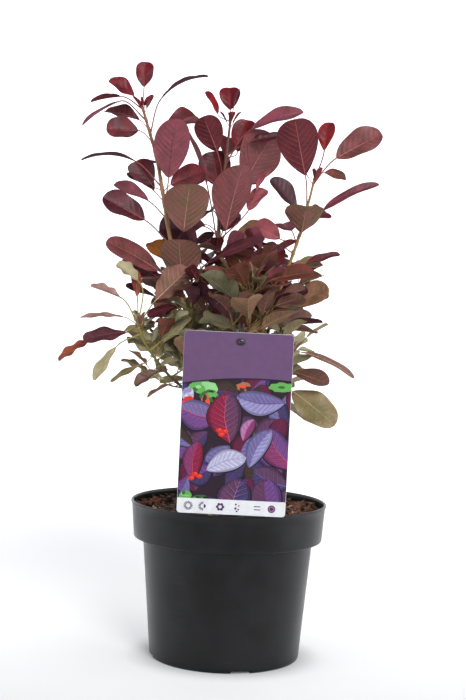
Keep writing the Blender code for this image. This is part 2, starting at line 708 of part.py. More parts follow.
def stake_pocket():
    lean = math.atan2(STAKE_TOP.y - STAKE_FOOT.y, STAKE_TOP.z - STAKE_FOOT.z)
    turn = Matrix.Rotation(-lean, 4, "X")
    length = (STAKE_TOP - STAKE_FOOT).length
    middle = (STAKE_TOP + STAKE_FOOT) / 2
    size = (STAKE_WIDTH + 2 * GAP, STAKE_DEPTH + 2 * GAP, length + 2 * GAP)
    return make_box("pocket", Matrix.Translation(middle) @ turn, size)


def main():
    clear_scene()
    pot = make_pot(plain_material("pot_plastic", (0.022, 0.022, 0.024), 0.45))
    soil = make_soil(plain_material("bark_compost", (0.055, 0.026, 0.016), 0.9))
    cut_away(soil, stake_pocket())
    bark = plain_material("trunk_bark", (0.17, 0.11, 0.06), 0.75)
    obstacles = [pot, soil, make_trunk(bark)]
    obstacles.append(make_card(plain_material("card_print", (0.15, 0.075, 0.19), 0.4)))
    obstacles.append(make_stake(plain_material("stake_plastic", (0.02, 0.02, 0.02), 0.4)))
    lines = {name: shoot_line(spec) for name, spec in SHOOTS.items()}
    for name, spec in SHOOTS.items():
        skin = plain_material("bark_" + name, (0.25, 0.17, 0.08), 0.7)
        obstacles.append(make_bough(name, lines[name], spec, skin))
    leaves = plan_leaves(lines, obstacles)
    for name, spec in SHOOTS.items():
        tone = plain_material("leaves_" + name, (0.14, 0.03, 0.045), 0.55)
        own = [leaf for leaf in leaves if leaf["shoot"] == name]
        make_foliage(name, lines[name], spec, own, tone)


main()
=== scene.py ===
"""The young purple smoke bush in its nursery pot, dressed with bark, leaves, compost and a printed card.

Metres, Z up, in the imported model's own frame. The viewer of the card stands on the -Y side.
"""

import math
import random

import bmesh
import bpy
from mathutils import Matrix, Vector, noise
from mathutils.bvhtree import BVHTree


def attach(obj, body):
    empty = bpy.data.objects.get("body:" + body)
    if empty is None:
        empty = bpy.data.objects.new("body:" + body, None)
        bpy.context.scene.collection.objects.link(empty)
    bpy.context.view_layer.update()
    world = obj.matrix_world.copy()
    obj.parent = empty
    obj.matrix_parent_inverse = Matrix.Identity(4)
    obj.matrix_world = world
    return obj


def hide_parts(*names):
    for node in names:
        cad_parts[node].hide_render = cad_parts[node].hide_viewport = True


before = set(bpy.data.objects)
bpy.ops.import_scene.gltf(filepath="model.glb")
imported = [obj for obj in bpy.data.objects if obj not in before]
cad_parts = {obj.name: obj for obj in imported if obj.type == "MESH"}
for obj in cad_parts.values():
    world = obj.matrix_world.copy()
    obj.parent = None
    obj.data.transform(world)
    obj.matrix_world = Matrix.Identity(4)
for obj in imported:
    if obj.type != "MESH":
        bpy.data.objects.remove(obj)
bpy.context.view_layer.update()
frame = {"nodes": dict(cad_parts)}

MM = 0.001
GAP = 0.3 * MM
UP = Vector((0.0, 0.0, 1.0))
BLACK = (0.0, 0.0, 0.0, 1.0)

# Pot
POT_HEIGHT = 151.5 * MM
RIM_RADIUS = 95.0 * MM
COLLAR_FOOT_RADIUS = 91.6 * MM
COLLAR_FOOT_HEIGHT = 116.0 * MM
WALL_TOP_RADIUS = 82.5 * MM
FOOT_RADIUS = 72.8 * MM
POT_WALL = 1.8 * MM
POT_SEGMENTS = 192
POT_SHARP = 50
SLOT_WIDTH = 19.0 * MM
SLOT_HEIGHT = 3.0 * MM
SLOT_INNER_RADIUS = 63.0 * MM
SLOT_COUNT = 4
SLOT_TURN = 13.0

# Shaped places of the pot's outside: millimetres out from a radius and up from a height.
FOOT_ROUNDING = ((-2.4, 0.0), (-1.3, 0.18), (-0.5, 0.75), (-0.1, 1.6), (0.05, 2.6))
FOOT_BEAD = ((0.42, 4.0), (0.42, 4.5))
WALL_TOP_ROUNDING = ((-0.05, -1.6), (0.15, -0.5), (0.7, 0.0))
COLLAR_ROUNDING = ((-1.1, 0.0), (-0.35, 0.3), (0.0, 1.1))
RIM_ROUNDING = ((-0.9, -3.2), (-0.3, -2.7), (0.0, -2.0), (0.0, -0.9), (-0.3, -0.25), (-0.9, 0.0),
                (-1.7, -0.05), (-2.2, -0.6))

# Compost
SOIL_LEVEL = 139.5 * MM
BED_RISE = 3.6 * MM
BED_LUMP = 3.2 * MM
LUMP_SCALE = 46
BED_RINGS = 46
BED_SEGMENTS = 120
BED_SLACK = 0.25 * MM
BARE_RADIUS = 13 * MM
CHIP_SEED = 12
CHIP_COUNT = 820
CRUMB_COUNT = 1500
CHIP_CORNERS = 12
CRUMB_CORNERS = 8
CHIP_SHARP = 30
CHIP_SPREAD = 0.965
CHIP_RISE = 2.6
CHIP_TILT = 0.3

# Least and greatest length, width and height of a chip and of a crumb, in millimetres.
CHIP_SIZE = ((5, 14), (2.4, 6.0), (1.3, 3.2))
CRUMB_SIZE = ((1.2, 3.4), (0.9, 2.2), (0.8, 1.8))

# How far out a chip's corners stand at the least, as shares of its length, width and height.
CHIP_FULLNESS = (0.6, 0.6, 0.5)

# Tones of chips and crumbs as they look on a screen, and how common each is.
CHIP_TONES = {"dark": ((42, 28, 22), 4), "red": ((92, 55, 40), 3), "brown": ((72, 49, 37), 4),
              "pale": ((140, 108, 84), 0.55)}

# Trunk
TRUNK_TOP = 196.0 * MM
TRUNK_FOOT_RADIUS = 8.2 * MM
TRUNK_TOP_RADIUS = 5.6 * MM
TRUNK_FLARE = 4.2 * MM
TRUNK_FLARE_HEIGHT = 9.0 * MM
TRUNK_ROOTS = 5
ROOT_TURN = 0.7
TRUNK_LEAN = Vector((-4.0, 2.0, 0.0)) * MM
TRUNK_ROWS = 30
TRUNK_SIDES = 40
TRUNK_SUNK = 4 * MM
BOUGH_STEP = 2.2 * MM
BOUGH_FLARE = 0.8 * MM
BOUGH_FLARE_STEPS = 4
BOUGH_OVERLAP = 1.0
BOUGH_SIDES = 16
BARK_GRAIN = 0.7 * MM
BARK_STRETCH = Vector((420, 420, 60))
ROUGH_BARK_TOP = 0.15
SMOOTH_BARK_FOOT = 0.24
LIMB_VOXEL = 0.75 * MM

# Picture card and its stake
CARD_THICKNESS = 0.8 * MM
CARD_TOP = Vector((4.4, -105.0, 319.4)) * MM
CARD_LEAN = 2.1
CARD_TILT = 0.8
STAKE_WIDTH = 5.4 * MM
STAKE_DEPTH = 2.2 * MM
STAKE_TOP = Vector((5.9, -102.3, 321.0)) * MM
STAKE_FOOT = Vector((5.9, -72.5, 98.0)) * MM
STAKE_SHARP = 40
STAKE_ROUNDING = 0.5 * MM
PRONG_HEIGHT = 8.0 * MM
PRONG_WIDTH = 1.8 * MM
PRONG_RISE = 2.5 * MM
PEG_DROP = 8.6 * MM
PEG_SHIFT = 1.5 * MM
PEG_SIZE = (6.0 * MM, 6.4 * MM, 2.6 * MM)
PEG_DEPTH = 3.0 * MM
PEG_ROUNDING = 0.4 * MM
PEG_SEGMENTS = 28
PEG_HEAD = (8.6 * MM, 6.4 * MM)
PEG_SINK = 0.45 * MM
INK_STEP = 0.008 * MM
FIRST_INK = 0.02 * MM

# Rows of the peg's domed head: share of its reach, and millimetres from front to back.
PEG_DOME = ((0.7, 0.0), (0.95, -0.35), (1.0, -0.8), (0.93, -1.3), (0.72, -1.7), (0.4, -1.9),
            (0.28, -1.55), (0.1, -1.5))

# Limbs and leaves
PATH_STEPS = 24
LINE_STEP = 2.0 * MM
TIP_MARGIN = 2.5 * MM
STEM_SIDES = 6
STEM_STEP = 14.0 * MM
LEAF_THICKNESS = 1.2 * MM
LEAF_THINNING = 0.45
PETIOLE_RADIUS = 0.75 * MM
LEAF_FOLD = 13.0
CLEARANCE = 1.0 * MM
TWIG_CLEARANCE = 0.3 * MM
BLADE_CUTS = (0.12, 0.38, 0.68, 0.94)
LEAF_SEED = 41
GOLDEN_SHARE = 0.618034
GOLDEN_ANGLE = 137.5

# Fine leaf
DRESS_SEED = 7
BLADE_SHEET = 0.36 * MM
BLADE_STEPS = 200
BLADE_SHARP = 55
YOUNG_FOLD = 12.0
SHORT_BLADE = 31 * MM
MIDDLING_BLADE = 38 * MM
VEINED_WIDTH = 6 * MM
THREAD_WIDTH = 4 * MM
VEIN_SPACING = 5.4 * MM
VEIN_ANGLE = 55.0
VEIN_BOW = 0.8
VEIN_STRAY = 0.16
VEIN_RAKE = 0.3
VEIN_POINTS = 8
VEIN_END = 0.97
VEIN_EDGE = 0.94
RIB_ROUNDING = 0.10
TIP_LEAVES = 6
TWIG_LEAVES = 9
BUD_SIZE = 1.5 * MM
BUD_RISE = 1.6 * MM
FINE_STEM_STEP = 1.6 * MM
FINE_STEM_SIDES = 12
STEM_OVERLAP = 2.0
NODE_SWELL = 0.28
NODE_REACH = 1.9 * MM

# Each shoot: where its bough leaves the trunk, the places that it grows through, the height at
# which its leaves begin, its radius at the foot and at the tip, and the rule for its filling leaves:
# how many, from what height to what height, round what bearing and how far to each side of it.
SHOOTS = {
    "left": dict(
        fork=168, through=((-15, 1, 202), (-36, -7, 290), (-63, -12, 396), (-79, -14, 475)),
        tip=(-96, -16, 531), leaves_from=290, radius=(3.3, 1.2), fill=(9, 305, 490, 92, 42)),
    "centre": dict(
        fork=196, through=((-7, 5, 235), (-14, 12, 300), (-19, 16, 410)),
        tip=(-11, 14, 523), leaves_from=300, radius=(3.4, 1.1), fill=(12, 308, 496, 88, 55)),
    "right": dict(
        fork=180, through=((9, -4, 215), (18, -7, 290), (53, -8, 391), (66, -10, 440)),
        tip=(72, -10, 468), leaves_from=290, radius=(3.0, 1.0), fill=(9, 298, 428, 88, 48)),
    "low_left": dict(
        fork=160, through=((-12, -14, 194), (-40, -24, 252), (-64, -30, 277), (-84, -35, 303)),
        tip=(-92, -36, 323), leaves_from=252, radius=(2.2, 0.8), fill=(5, 262, 312, 70, 60)),
    "low_right": dict(
        fork=157, through=((13, -11, 195), (31, -19, 243), (48, -24, 275)),
        tip=(56, -26, 303), leaves_from=243, radius=(2.1, 0.8), fill=(2, 262, 290, 60, 40)),
    "inner": dict(
        fork=175, through=((2, -13, 208), (6, -26, 268), (14, -40, 330)),
        tip=(16, -46, 374), leaves_from=268, radius=(2.2, 0.8), fill=(8, 300, 368, 270, 75)),
    "back_left": dict(
        fork=165, through=((-10, 13, 200), (-24, 38, 262), (-40, 62, 325)),
        tip=(-48, 80, 385), leaves_from=262, radius=(2.7, 0.9), fill=(14, 276, 380, 105, 75)),
    "back_right": dict(
        fork=172, through=((8, 12, 205), (20, 34, 262), (36, 60, 325)),
        tip=(42, 80, 378), leaves_from=262, radius=(2.7, 0.9), fill=(14, 276, 372, 78, 75)),
    "low_back": dict(
        fork=155, through=((-1, 16, 190), (-3, 46, 235), (-4, 82, 282)),
        tip=(-3, 104, 318), leaves_from=235, radius=(2.1, 0.8), fill=(9, 250, 312, 90, 85)),
}

# The leaves that shape the outline, by shoot: height of the node, bearing, rise of the petiole, rise
# of the blade, length of the petiole, length and width of the blade, how far the upper side turns to
# the viewer and how far the blade bends over. Lengths in millimetres, angles in degrees, bearing 0
# to the right and 90 away from the viewer.
LEADERS = {
    "left": (
        (529, 70, 82, 80, 19, 25, 20, 10, 6), (528, 192, 50, 28, 13, 28, 21, 50, 8),
        (526, 175, 28, -12, 25, 29, 15, 8, 10), (516, 188, 32, -36, 31, 42, 17, 10, 12),
        (507, 158, 42, 14, 14, 38, 22, 32, 10), (496, 198, 34, -3, 17, 31, 25, 62, 6),
        (503, 10, 74, 27, 36, 50, 15, 4, 26), (436, 292, 70, 72, 27, 57, 36, 0, 8),
        (450, 138, 20, 44, 15, 34, 26, 45, 8), (448, 24, 44, 24, 11, 38, 27, 55, 8),
        (453, 183, 42, -2, 36, 51, 13, 2, 26), (423, 173, 42, 24, 25, 37, 18, 40, 10),
        (397, 189, 42, 26, 36, 45, 27, 62, 6),
        (365, 285, 72, 66, 48, 48, 45, 0, 6), (363, 190, 26, 27, 23, 57, 32, 45, 6),
        (380, 132, 10, 36, 12, 32, 24, 25, 8), (346, 262, 44, 62, 17, 45, 34, 0, 12),
        (333, 193, 26, 18, 34, 31, 18, 25, 8), (325, 208, 46, -20, 20, 31, 15, 30, 10),
        (341, 342, 60, 22, 50, 58, 23, 35, 8), (486, 34, 62, 26, 26, 36, 24, 45, 14),
    ),
    "centre": (
        (397, 190, 78, 66, 64, 58, 20, 14, 8), (523, 189, 28, 58, 14, 25, 15, 40, 6),
        (525, 95, 66, 72, 13, 24, 23, 10, 6), (521, 346, 78, 72, 13, 20, 10, 30, 6),
        (464, 225, 70, 58, 28, 38, 28, -45, 10), (485, 50, 24, 66, 19, 36, 25, 25, 6),
        (479, 5, 55, 21, 43, 54, 22, 42, 12), (444, 20, 38, 60, 32, 48, 43, -68, 6),
        (396, 306, 56, 68, 22, 67, 46, 0, 8), (452, 110, 28, 58, 12, 43, 33, 20, 8),
        (404, 20, 46, 50, 44, 28, 22, 30, 6), (425, 8, 40, 56, 46, 26, 13, 20, 6),
        (412, 172, 30, -8, 16, 46, 34, 66, 6), (385, 20, 46, 30, 26, 36, 26, 40, 8),
        (372, 160, 30, 24, 20, 38, 27, 30, 8), (352, 350, 40, 28, 26, 40, 22, 30, 8),
    ),
    "right": (
        (438, 228, 82, 70, 31, 55, 41, -48, 6), (463, 40, 68, 76, 33, 29, 19, 20, 6),
        (461, 355, 50, 30, 33, 49, 30, 62, 6), (462, 25, 44, -10, 15, 25, 16, 50, 6),
        (424, 196, 60, 44, 15, 38, 23, 58, 8), (422, 3, 36, 27, 24, 60, 19, 28, 12),
        (410, 276, 10, 44, 17, 35, 38, 0, 6), (405, 130, 8, 20, 22, 37, 25, 48, 6),
        (368, 6, 37, 17, 28, 34, 14, 30, 10), (327, 346, 35, 26, 28, 42, 28, 58, 6),
        (325, 60, 26, 62, 21, 38, 27, 20, 6), (319, 350, 12, 8, 20, 39, 15, 20, 8),
        (321, 20, 20, 15, 19, 33, 18, 40, 6), (360, 176, 34, 24, 18, 42, 23, 45, 6),
    ),
    "low_left": (
        (321, 340, 55, 44, 29, 45, 28, -50, 6), (323, 130, 83, 78, 27, 27, 11, 20, 6),
        (323, 186, 28, -3, 16, 41, 13, 18, 10), (321, 205, -30, -10, 14, 43, 19, 38, 8),
        (318, 185, -16, -34, 47, 36, 18, 24, 8), (313, 206, -28, -56, 28, 38, 17, 30, 8),
        (292, 194, -42, -30, 10, 38, 12, 18, 8), (280, 205, -20, -34, 6, 27, 15, 30, 6),
        (267, 190, -12, -32, 6, 26, 9, 8, 8), (304, 45, 10, 42, 9, 37, 22, -30, 6),
        (317, 60, 20, 20, 10, 42, 22, -30, 8), (322, 180, 55, 18, 32, 30, 13, 25, 6),
    ),
    "low_right": (
        (300, 352, 0, -24, 9, 56, 14, 22, 16), (280, 332, 6, -14, 9, 38, 20, 40, 6),
        (267, 336, -17, -34, 15, 53, 33, 50, 6), (258, 28, -40, -32, 12, 32, 17, 35, 6),
        (302, 35, 10, -10, 7, 20, 9, 20, 12),
    ),
    "inner": (
        (330, 352, 40, 20, 22, 40, 28, 30, 8), (352, 12, 44, 12, 22, 44, 24, 40, 8),
        (372, 20, 50, 34, 18, 36, 14, 25, 8), (318, 190, 30, 40, 22, 34, 24, 40, 6),
        (345, 172, 40, 30, 20, 36, 22, 25, 8),
    ),
}

# Changes of bearing and rise that are tried in turn for a leaf that has no room as it stands.
TURNS = ((0, 0), (8, 0), (-8, 0), (0, 8), (0, -8), (16, 0), (-16, 0), (14, 10), (-14, 10),
         (24, -6), (-24, -6), (34, 4), (-34, 4), (46, 8), (-46, 8))

# Tone of each leader leaf, in the order of the rows above.
LEADER_TONES = {
    "left": "crimson crimson garnet mauve wine garnet plum mauve wine garnet plum mauve wine umber "
            "rosewood amber umber plum wine purple garnet",
    "centre": "mauve scarlet crimson garnet wine crimson mauve rosewood rosewood garnet pink pink plum "
              "tan russet umber",
    "right": "wine scarlet rosewood russet plum mauve umber pink garnet tan purple plum blush russet",
    "low_left": "dusky copper blush purple copper khaki olive umber tan sage khaki blush",
    "low_right": "dusky umber olive olive sage",
    "inner": "purple russet wine plum russet",
}

# Tones of the filling leaves, from the lowest to the highest of each shoot.
FILL_TONES = {
    "left": "tan umber wine plum garnet russet wine plum garnet",
    "centre": "olive tan umber russet plum wine garnet russet wine plum garnet wine",
    "right": "olive khaki tan russet garnet plum wine mauve garnet",
    "low_left": "sage khaki khaki sage khaki",
    "low_right": "olive khaki",
    "inner": "bottle tan tan bottle russet russet plum russet",
    "back_left": "olive sage khaki tan umber wine plum russet wine plum garnet plum wine wine",
    "back_right": "khaki olive tan russet umber wine plum russet wine garnet wine plum wine garnet",
    "low_back": "olive khaki sage tan olive russet umber tan russet",
}

# Paint box of the leaves: upper side and its patches, underside and its patches, and veins, as they
# look on a screen.
TONES = {
    "crimson": ((104, 18, 28), (80, 14, 25), (110, 30, 40), (92, 24, 34), (138, 56, 54)),
    "scarlet": ((128, 22, 28), (98, 16, 25), (124, 34, 40), (102, 25, 33), (152, 62, 56)),
    "garnet": ((100, 34, 40), (80, 30, 34), (110, 48, 54), (90, 40, 46), (136, 72, 68)),
    "wine": ((82, 28, 36), (66, 24, 34), (90, 36, 42), (76, 30, 38), (138, 82, 72)),
    "russet": ((100, 46, 42), (84, 54, 38), (114, 64, 56), (94, 62, 46), (140, 92, 70)),
    "plum": ((64, 30, 38), (52, 26, 34), (82, 46, 54), (66, 38, 46), (94, 54, 56)),
    "rosewood": ((116, 62, 64), (96, 52, 50), (124, 68, 72), (104, 64, 62), (168, 116, 104)),
    "mauve": ((122, 58, 70), (98, 48, 58), (126, 66, 76), (106, 60, 66), (82, 36, 44)),
    "purple": ((78, 35, 42), (65, 30, 38), (96, 52, 60), (82, 45, 52), (116, 68, 68)),
    "pink": ((168, 92, 98), (144, 74, 80), (174, 104, 108), (148, 88, 90), (196, 130, 116)),
    "blush": ((156, 120, 112), (132, 100, 92), (158, 124, 116), (140, 108, 98), (176, 144, 122)),
    "dusky": ((124, 88, 84), (106, 80, 66), (132, 90, 82), (114, 86, 68), (176, 150, 114)),
    "amber": ((140, 84, 34), (114, 64, 30), (146, 94, 46), (122, 78, 38), (172, 118, 60)),
    "copper": ((132, 66, 44), (116, 52, 40), (142, 80, 62), (122, 66, 54), (164, 100, 72)),
    "tan": ((138, 100, 78), (114, 84, 60), (142, 108, 86), (124, 98, 74), (172, 136, 102)),
    "khaki": ((154, 144, 114), (134, 126, 88), (164, 154, 128), (144, 136, 102), (192, 180, 140)),
    "olive": ((128, 112, 82), (108, 100, 62), (142, 128, 100), (122, 114, 78), (170, 156, 114)),
    "sage": ((156, 150, 122), (134, 134, 98), (168, 164, 138), (148, 146, 114), (192, 186, 146)),
    "bottle": ((92, 88, 68), (76, 74, 54), (110, 106, 84), (94, 92, 68), (136, 130, 98)),
    "umber": ((100, 66, 58), (82, 60, 44), (116, 76, 70), (98, 78, 58), (162, 118, 98)),
    "lime": ((138, 136, 72), (118, 116, 58), (144, 142, 86), (128, 124, 70), (160, 158, 96)),
}

# Tones whose petioles are green, and shoots whose leaves have crumpled edges.
GREEN_STALKED = ("khaki", "olive", "sage", "bottle", "dusky", "copper", "blush", "lime")
CRUMPLED_SHOOTS = ("low_left",)

# Colours of the leaf stalks, and the shoots whose tips are red.
STALK_COLOURS = {"red": (112, 56, 50), "green": (126, 118, 62)}
RED_TIPPED = ("left", "centre", "right")

# Bark colours of each shoot, low and high, and the heights between which one turns into the other.
STEM_TONES = {
    "left": ((156, 120, 66), (126, 82, 56), 300, 520),
    "centre": ((112, 76, 46), (96, 52, 40), 300, 500),
    "right": ((156, 122, 58), (128, 96, 52), 300, 460),
    "low_left": ((62, 42, 28), (122, 120, 48), 262, 322),
    "low_right": ((84, 62, 38), (112, 100, 52), 250, 300),
    "inner": ((104, 82, 48), (128, 116, 56), 270, 370),
    "back_left": ((112, 84, 50), (104, 70, 46), 262, 380),
    "back_right": ((118, 90, 52), (104, 70, 46), 262, 380),
    "low_back": ((92, 68, 42), (112, 96, 50), 240, 315),
}

# Slender side twigs inside the bush, by shoot: height of the foot, bearing, rise and length.
TWIGS = {
    "centre": ((306, 250, 30, 62), (326, 305, 36, 66), (346, 228, 42, 60), (362, 285, 40, 42),
               (338, 30, 34, 66), (318, 160, 30, 66)),
    "left": ((300, 330, 34, 62), (322, 285, 40, 56), (344, 20, 40, 56), (312, 70, 30, 60),
             (360, 120, 44, 44)),
    "right": ((300, 225, 34, 66), (318, 260, 40, 58), (338, 180, 44, 56), (310, 100, 30, 60),
              (356, 130, 44, 46)),
    "inner": ((276, 160, 24, 58), (284, 20, 24, 58), (300, 235, 40, 46), (316, 320, 38, 50),
              (328, 120, 40, 50)),
    "low_left": ((258, 70, 30, 54), (272, 20, 36, 50), (262, 170, 10, 34), (290, 80, 40, 46)),
    "low_right": ((252, 80, 34, 50), (262, 150, 40, 46)),
    "back_left": ((272, 190, 26, 60), (288, 290, 30, 60), (306, 60, 36, 56), (330, 150, 40, 52)),
    "back_right": ((272, 340, 26, 60), (288, 240, 30, 60), (306, 110, 36, 56), (330, 20, 40, 52)),
    "low_back": ((246, 170, 20, 62), (256, 20, 20, 62), (270, 250, 30, 54), (274, 90, 30, 40)),
}

# Tones of the twigs' leaves, from the lowest layer of the bush to the highest, by its upper end.
TWIG_TONES = (
    (300, "khaki sage olive tan khaki sage"), (325, "olive tan khaki umber sage bottle russet"),
    (350, "tan russet umber olive khaki plum"), (380, "russet wine olive umber wine mauve"),
    (999, "wine garnet plum rosewood mauve"),
)

# Planned leaves that are grown to another size: number, and factors of width and length.
GROWN = ((28, 1.3, 1.14), (16, 1.18, 1.12), (56, 0.78, 1.0))

# Leaves that the picture shows between the planned ones: shoot, tone, and the values of a leader.
LATE_LEAVES = (
    ("left", "wine", (358, 168, 20, 24, 22, 42, 28, 45, 8)),
    ("low_left", "khaki", (321, 150, 84, 32, 42, 26, 16, 50, 8)),
)

# Planned leaves that would hide a gap of the picture, by their number in the plan.
LEFT_OUT = (77, 99, 108, 116, 135, 145)

# Sprays of thread-fine yellow-green young growth: shoot, height, bearing and number of blades.
TUFTS = (
    ("inner", 348, 200, 10), ("inner", 354, 250, 11), ("centre", 366, 285, 12),
    ("centre", 352, 262, 10), ("inner", 322, 235, 9), ("centre", 330, 262, 10),
    ("left", 316, 285, 10), ("left", 330, 300, 9),
)

# Inks of the leaf picture, of which each also has a paler and a darker one, and the plain inks.
LEAF_INKS = {
    "crimson": (112, 26, 54), "wine": (78, 26, 50), "violet": (88, 58, 110), "dusk": (54, 46, 82),
    "deep": (28, 20, 32), "lavender": (126, 122, 162), "mist": (94, 88, 130), "lilac": (142, 96, 138),
    "magenta": (106, 46, 86), "plum": (76, 48, 74), "ash": (156, 156, 180), "brown": (50, 40, 34),
}
PLAIN_INKS = {
    "header": (91, 67, 98), "header_line": (34, 26, 40), "ground": (40, 28, 38), "green": (88, 150, 76),
    "lightgreen": (128, 182, 122), "leafgreen": (50, 92, 48), "red": (190, 44, 32),
    "vermilion": (208, 66, 46), "orange": (150, 96, 66), "rose": (176, 68, 92),
    "strip": (200, 202, 205), "mark": (72, 50, 82),
}
PALE_INK = 1.13
DIM_INK = 0.82

# Places on the card, in its own millimetres: x across from the middle, z up from the top edge.
PRINT_SEED = 3
INK_INSET = 0.25
PRINT_EDGE = 49.3 - INK_INSET
PRINT_CORNER = 3.0 - INK_INSET
CARD_FOOT = -166 + INK_INSET
WINDOW = (-PRINT_EDGE, PRINT_EDGE, -160.0, -38.0)
WHOLE_CARD = (-60, 60, -170, 10)
STRIP_HEIGHT = 13.6
HEADER_STEPS = 24
HEADER_LINE = 1.1
HEADER_DEPTH = 41.3
HEADER_SLOPE = 0.0578
HEADER_ARCH = 0.00138
CARD_MIDDLE = -80
CARD_REACH = 200
GROUND_FOOT = -158
SHADOW_SHIFT = (0.3, -0.5)
PRINTED_BOW = 0.08
PRINTED_VEIN_SPACING = 4.4
LEAST_FILM = 0.02
BACK_LEAF_ROWS = 7
BACK_LEAF_COLUMNS = 5
BACK_LEAF_START = (-44, -52)
BACK_LEAF_STEP = (22, -17)
BLOT_DABS = 4
BACK_LEAF_INKS = ("dusk", "wine", "plum", "violet", "plum", "mist", "dusk", "brown")
BACK_RIB_INKS = ("violet", "plum", "magenta")

# The printed leaves in front: place of the foot, angle, length, width, and the inks of the two
# halves and of the veins.
PRINTED_LEAVES = (
    (44, -62, 175, 44, 22, "lavender", "mist", "violet"),
    (56, -122, 128, 46, 26, "magenta", "violet", "rose"),
    (-14, -78, 168, 38, 27, "violet", "mist", "rose"),
    (-36, -136, 84, 36, 18, "magenta", "crimson", "rose"),
    (14, -122, 62, 40, 18, "mist", "lavender", "violet"),
    (50, -138, 158, 34, 27, "dusk", "plum", "mist"),
    (38, -168, 104, 38, 30, "plum", "violet", "magenta"),
    (2, -172, 82, 40, 30, "plum", "dusk", "lilac"),
    (-4, -100, 96, 46, 31, "crimson", "plum", "rose"),
    (8, -98, 66, 22, 12, "lilac", "magenta", "rose"),
    (-24, -126, 20, 38, 20, "ash", "ash", "lavender"),
)

# Blurred patches behind the leaves: place, width, height and ink.
BLOTS = (
    (-30, -51, 26, 14, "green"), (-24, -59, 18, 12, "leafgreen"), (-37, -51, 14, 9, "green"),
    (-44, -58, 12, 14, "ash"), (-43, -66, 12, 13, "red"), (-28, -64, 9, 16, "orange"),
    (-22, -72, 8, 12, "green"), (40, -48, 24, 9, "green"), (25, -66, 14, 10, "green"),
    (6, -49, 14, 9, "orange"), (14, -92, 9, 9, "leafgreen"), (36, -92, 9, 11, "leafgreen"),
    (42, -104, 9, 4, "green"), (-42, -150, 12, 9, "green"), (-28, -152, 16, 6, "leafgreen"),
)

# Inks dabbed into a patch of each ink.
BLOT_INKS = {
    "green": ("lightgreen", "green", "leafgreen"), "leafgreen": ("green", "ground"),
    "ash": ("ash_pale", "lavender"), "red": ("vermilion", "rose"), "orange": ("brown", "vermilion"),
}

# Small red berries in front of the printed leaves.
BERRIES = ((-12, -93), (-9, -90), (-14, -89), (-34, -130), (-37, -134), (-30, -132))

# Places across the card of the marks in its strip, and its dots: place across and up, and radius.
RAYED_RING = -38.9
HALF_DISC = -25.6
ROSETTE = -9.9
BARS = (20.6, 26.4)
FILLED_RING = 36.6
DOTS = ((4.2, 2.8, 0.9), (7.0, 1.6, 0.7), (4.0, -0.8, 1.1), (6.6, -1.8, 0.8), (5.2, -3.4, 0.9))

# Studio
WORLD_LIGHT = 0.1
FLOOR_SINK = 0.02 * MM
SURROUND_SEGMENTS = 96
# Painted shade on the floor: grey near the pot, and a darker grey in front of it that the pot's front
# reflects.
NEAR_POT_SHADE_GREY = (0.62, 0.62, 0.628, 1.0)
FRONT_SHADE_GREY = (0.4, 0.4, 0.405, 1.0)
LIGHTS_AIM = Vector((0.0, 0.0, 0.28))

# The camera's angles are in radians, and its focal length is in pixels, as the picture's height is.
CAMERA_PLACE = Vector((-0.0009, -1.373, 0.3605))
CAMERA_PITCH = 0.045
CAMERA_ROLL = 0.0342
CAMERA_SENSOR = 36.0
FOCAL_LENGTH = 1414.2
PICTURE_HEIGHT = 700

# Radius and height of the floor's rings, as it rises into the surround.
SURROUND = ((0.0005, 0.0), (0.4, 0.0), (1.2, 0.0), (2.4, 0.0), (3.4, 0.0), (3.9, 0.12), (4.3, 0.5),
            (4.5, 1.1), (4.6, 2.2))

# Each light's place, size, power in watts and spread in degrees.
LIGHTS = {
    "left": ((-0.75, -0.2, 0.45), (1.0, 0.9), 3.2, 180),
    "top": ((0.1, 0.1, 1.9), (0.6, 0.6), 7.2, 180),
    "right": ((0.78, -0.2, 0.45), (1.0, 0.9), 3.5, 180),
    "front": ((0.6, -1.8, 1.3), (0.8, 0.8), 2.6, 45),
}


# The source's rule for limbs and leaves


def even_steps(count):
    return [k / count for k in range(count + 1)]


def circle(count):
    """Evenly spaced places round a circle of radius one."""
    return [(math.cos(math.tau * k / count), math.sin(math.tau * k / count)) for k in range(count)]


def ring_of(radius, height, segments):
    return [Vector((radius * x, radius * y, height)) for x, y in circle(segments)]


def joined_rings(rings):
    """Points of rings of equal count, and faces between them with a flat face at each end."""
    count = len(rings[0])
    points = [p for ring in rings for p in ring]
    faces = [list(range(count))[::-1]]
    for row in range(len(rings) - 1):
        for i in range(count):
            low = row * count + i
            low_next = row * count + (i + 1) % count
            faces.append([low, low_next, low_next + count, low + count])
    last = (len(rings) - 1) * count
    faces.append(list(range(last, last + count)))
    return points, faces


def inner_radius(height):
    """Radius of the pot's inside at a height."""
    if height < COLLAR_FOOT_HEIGHT + POT_WALL:
        share = height / COLLAR_FOOT_HEIGHT
        return FOOT_RADIUS + (WALL_TOP_RADIUS - FOOT_RADIUS) * share - POT_WALL
    share = (height - COLLAR_FOOT_HEIGHT) / (POT_HEIGHT - COLLAR_FOOT_HEIGHT)
    return COLLAR_FOOT_RADIUS + (RIM_RADIUS - COLLAR_FOOT_RADIUS) * share - POT_WALL


def smooth_path(places, spacing):
    """Evenly spaced points of a smooth curve through the places."""
    ends = [2 * places[0] - places[1]] + places + [2 * places[-1] - places[-2]]
    fine = []
    for before, start, stop, after in zip(ends, ends[1:], ends[2:], ends[3:]):
        for t in even_steps(PATH_STEPS)[:-1]:
            fine.append(0.5 * (2 * start + (stop - before) * t
                               + (2 * before - 5 * start + 4 * stop - after) * t * t
                               + (3 * start - before - 3 * stop + after) * t ** 3))
    return spaced(fine + [places[-1]], spacing)


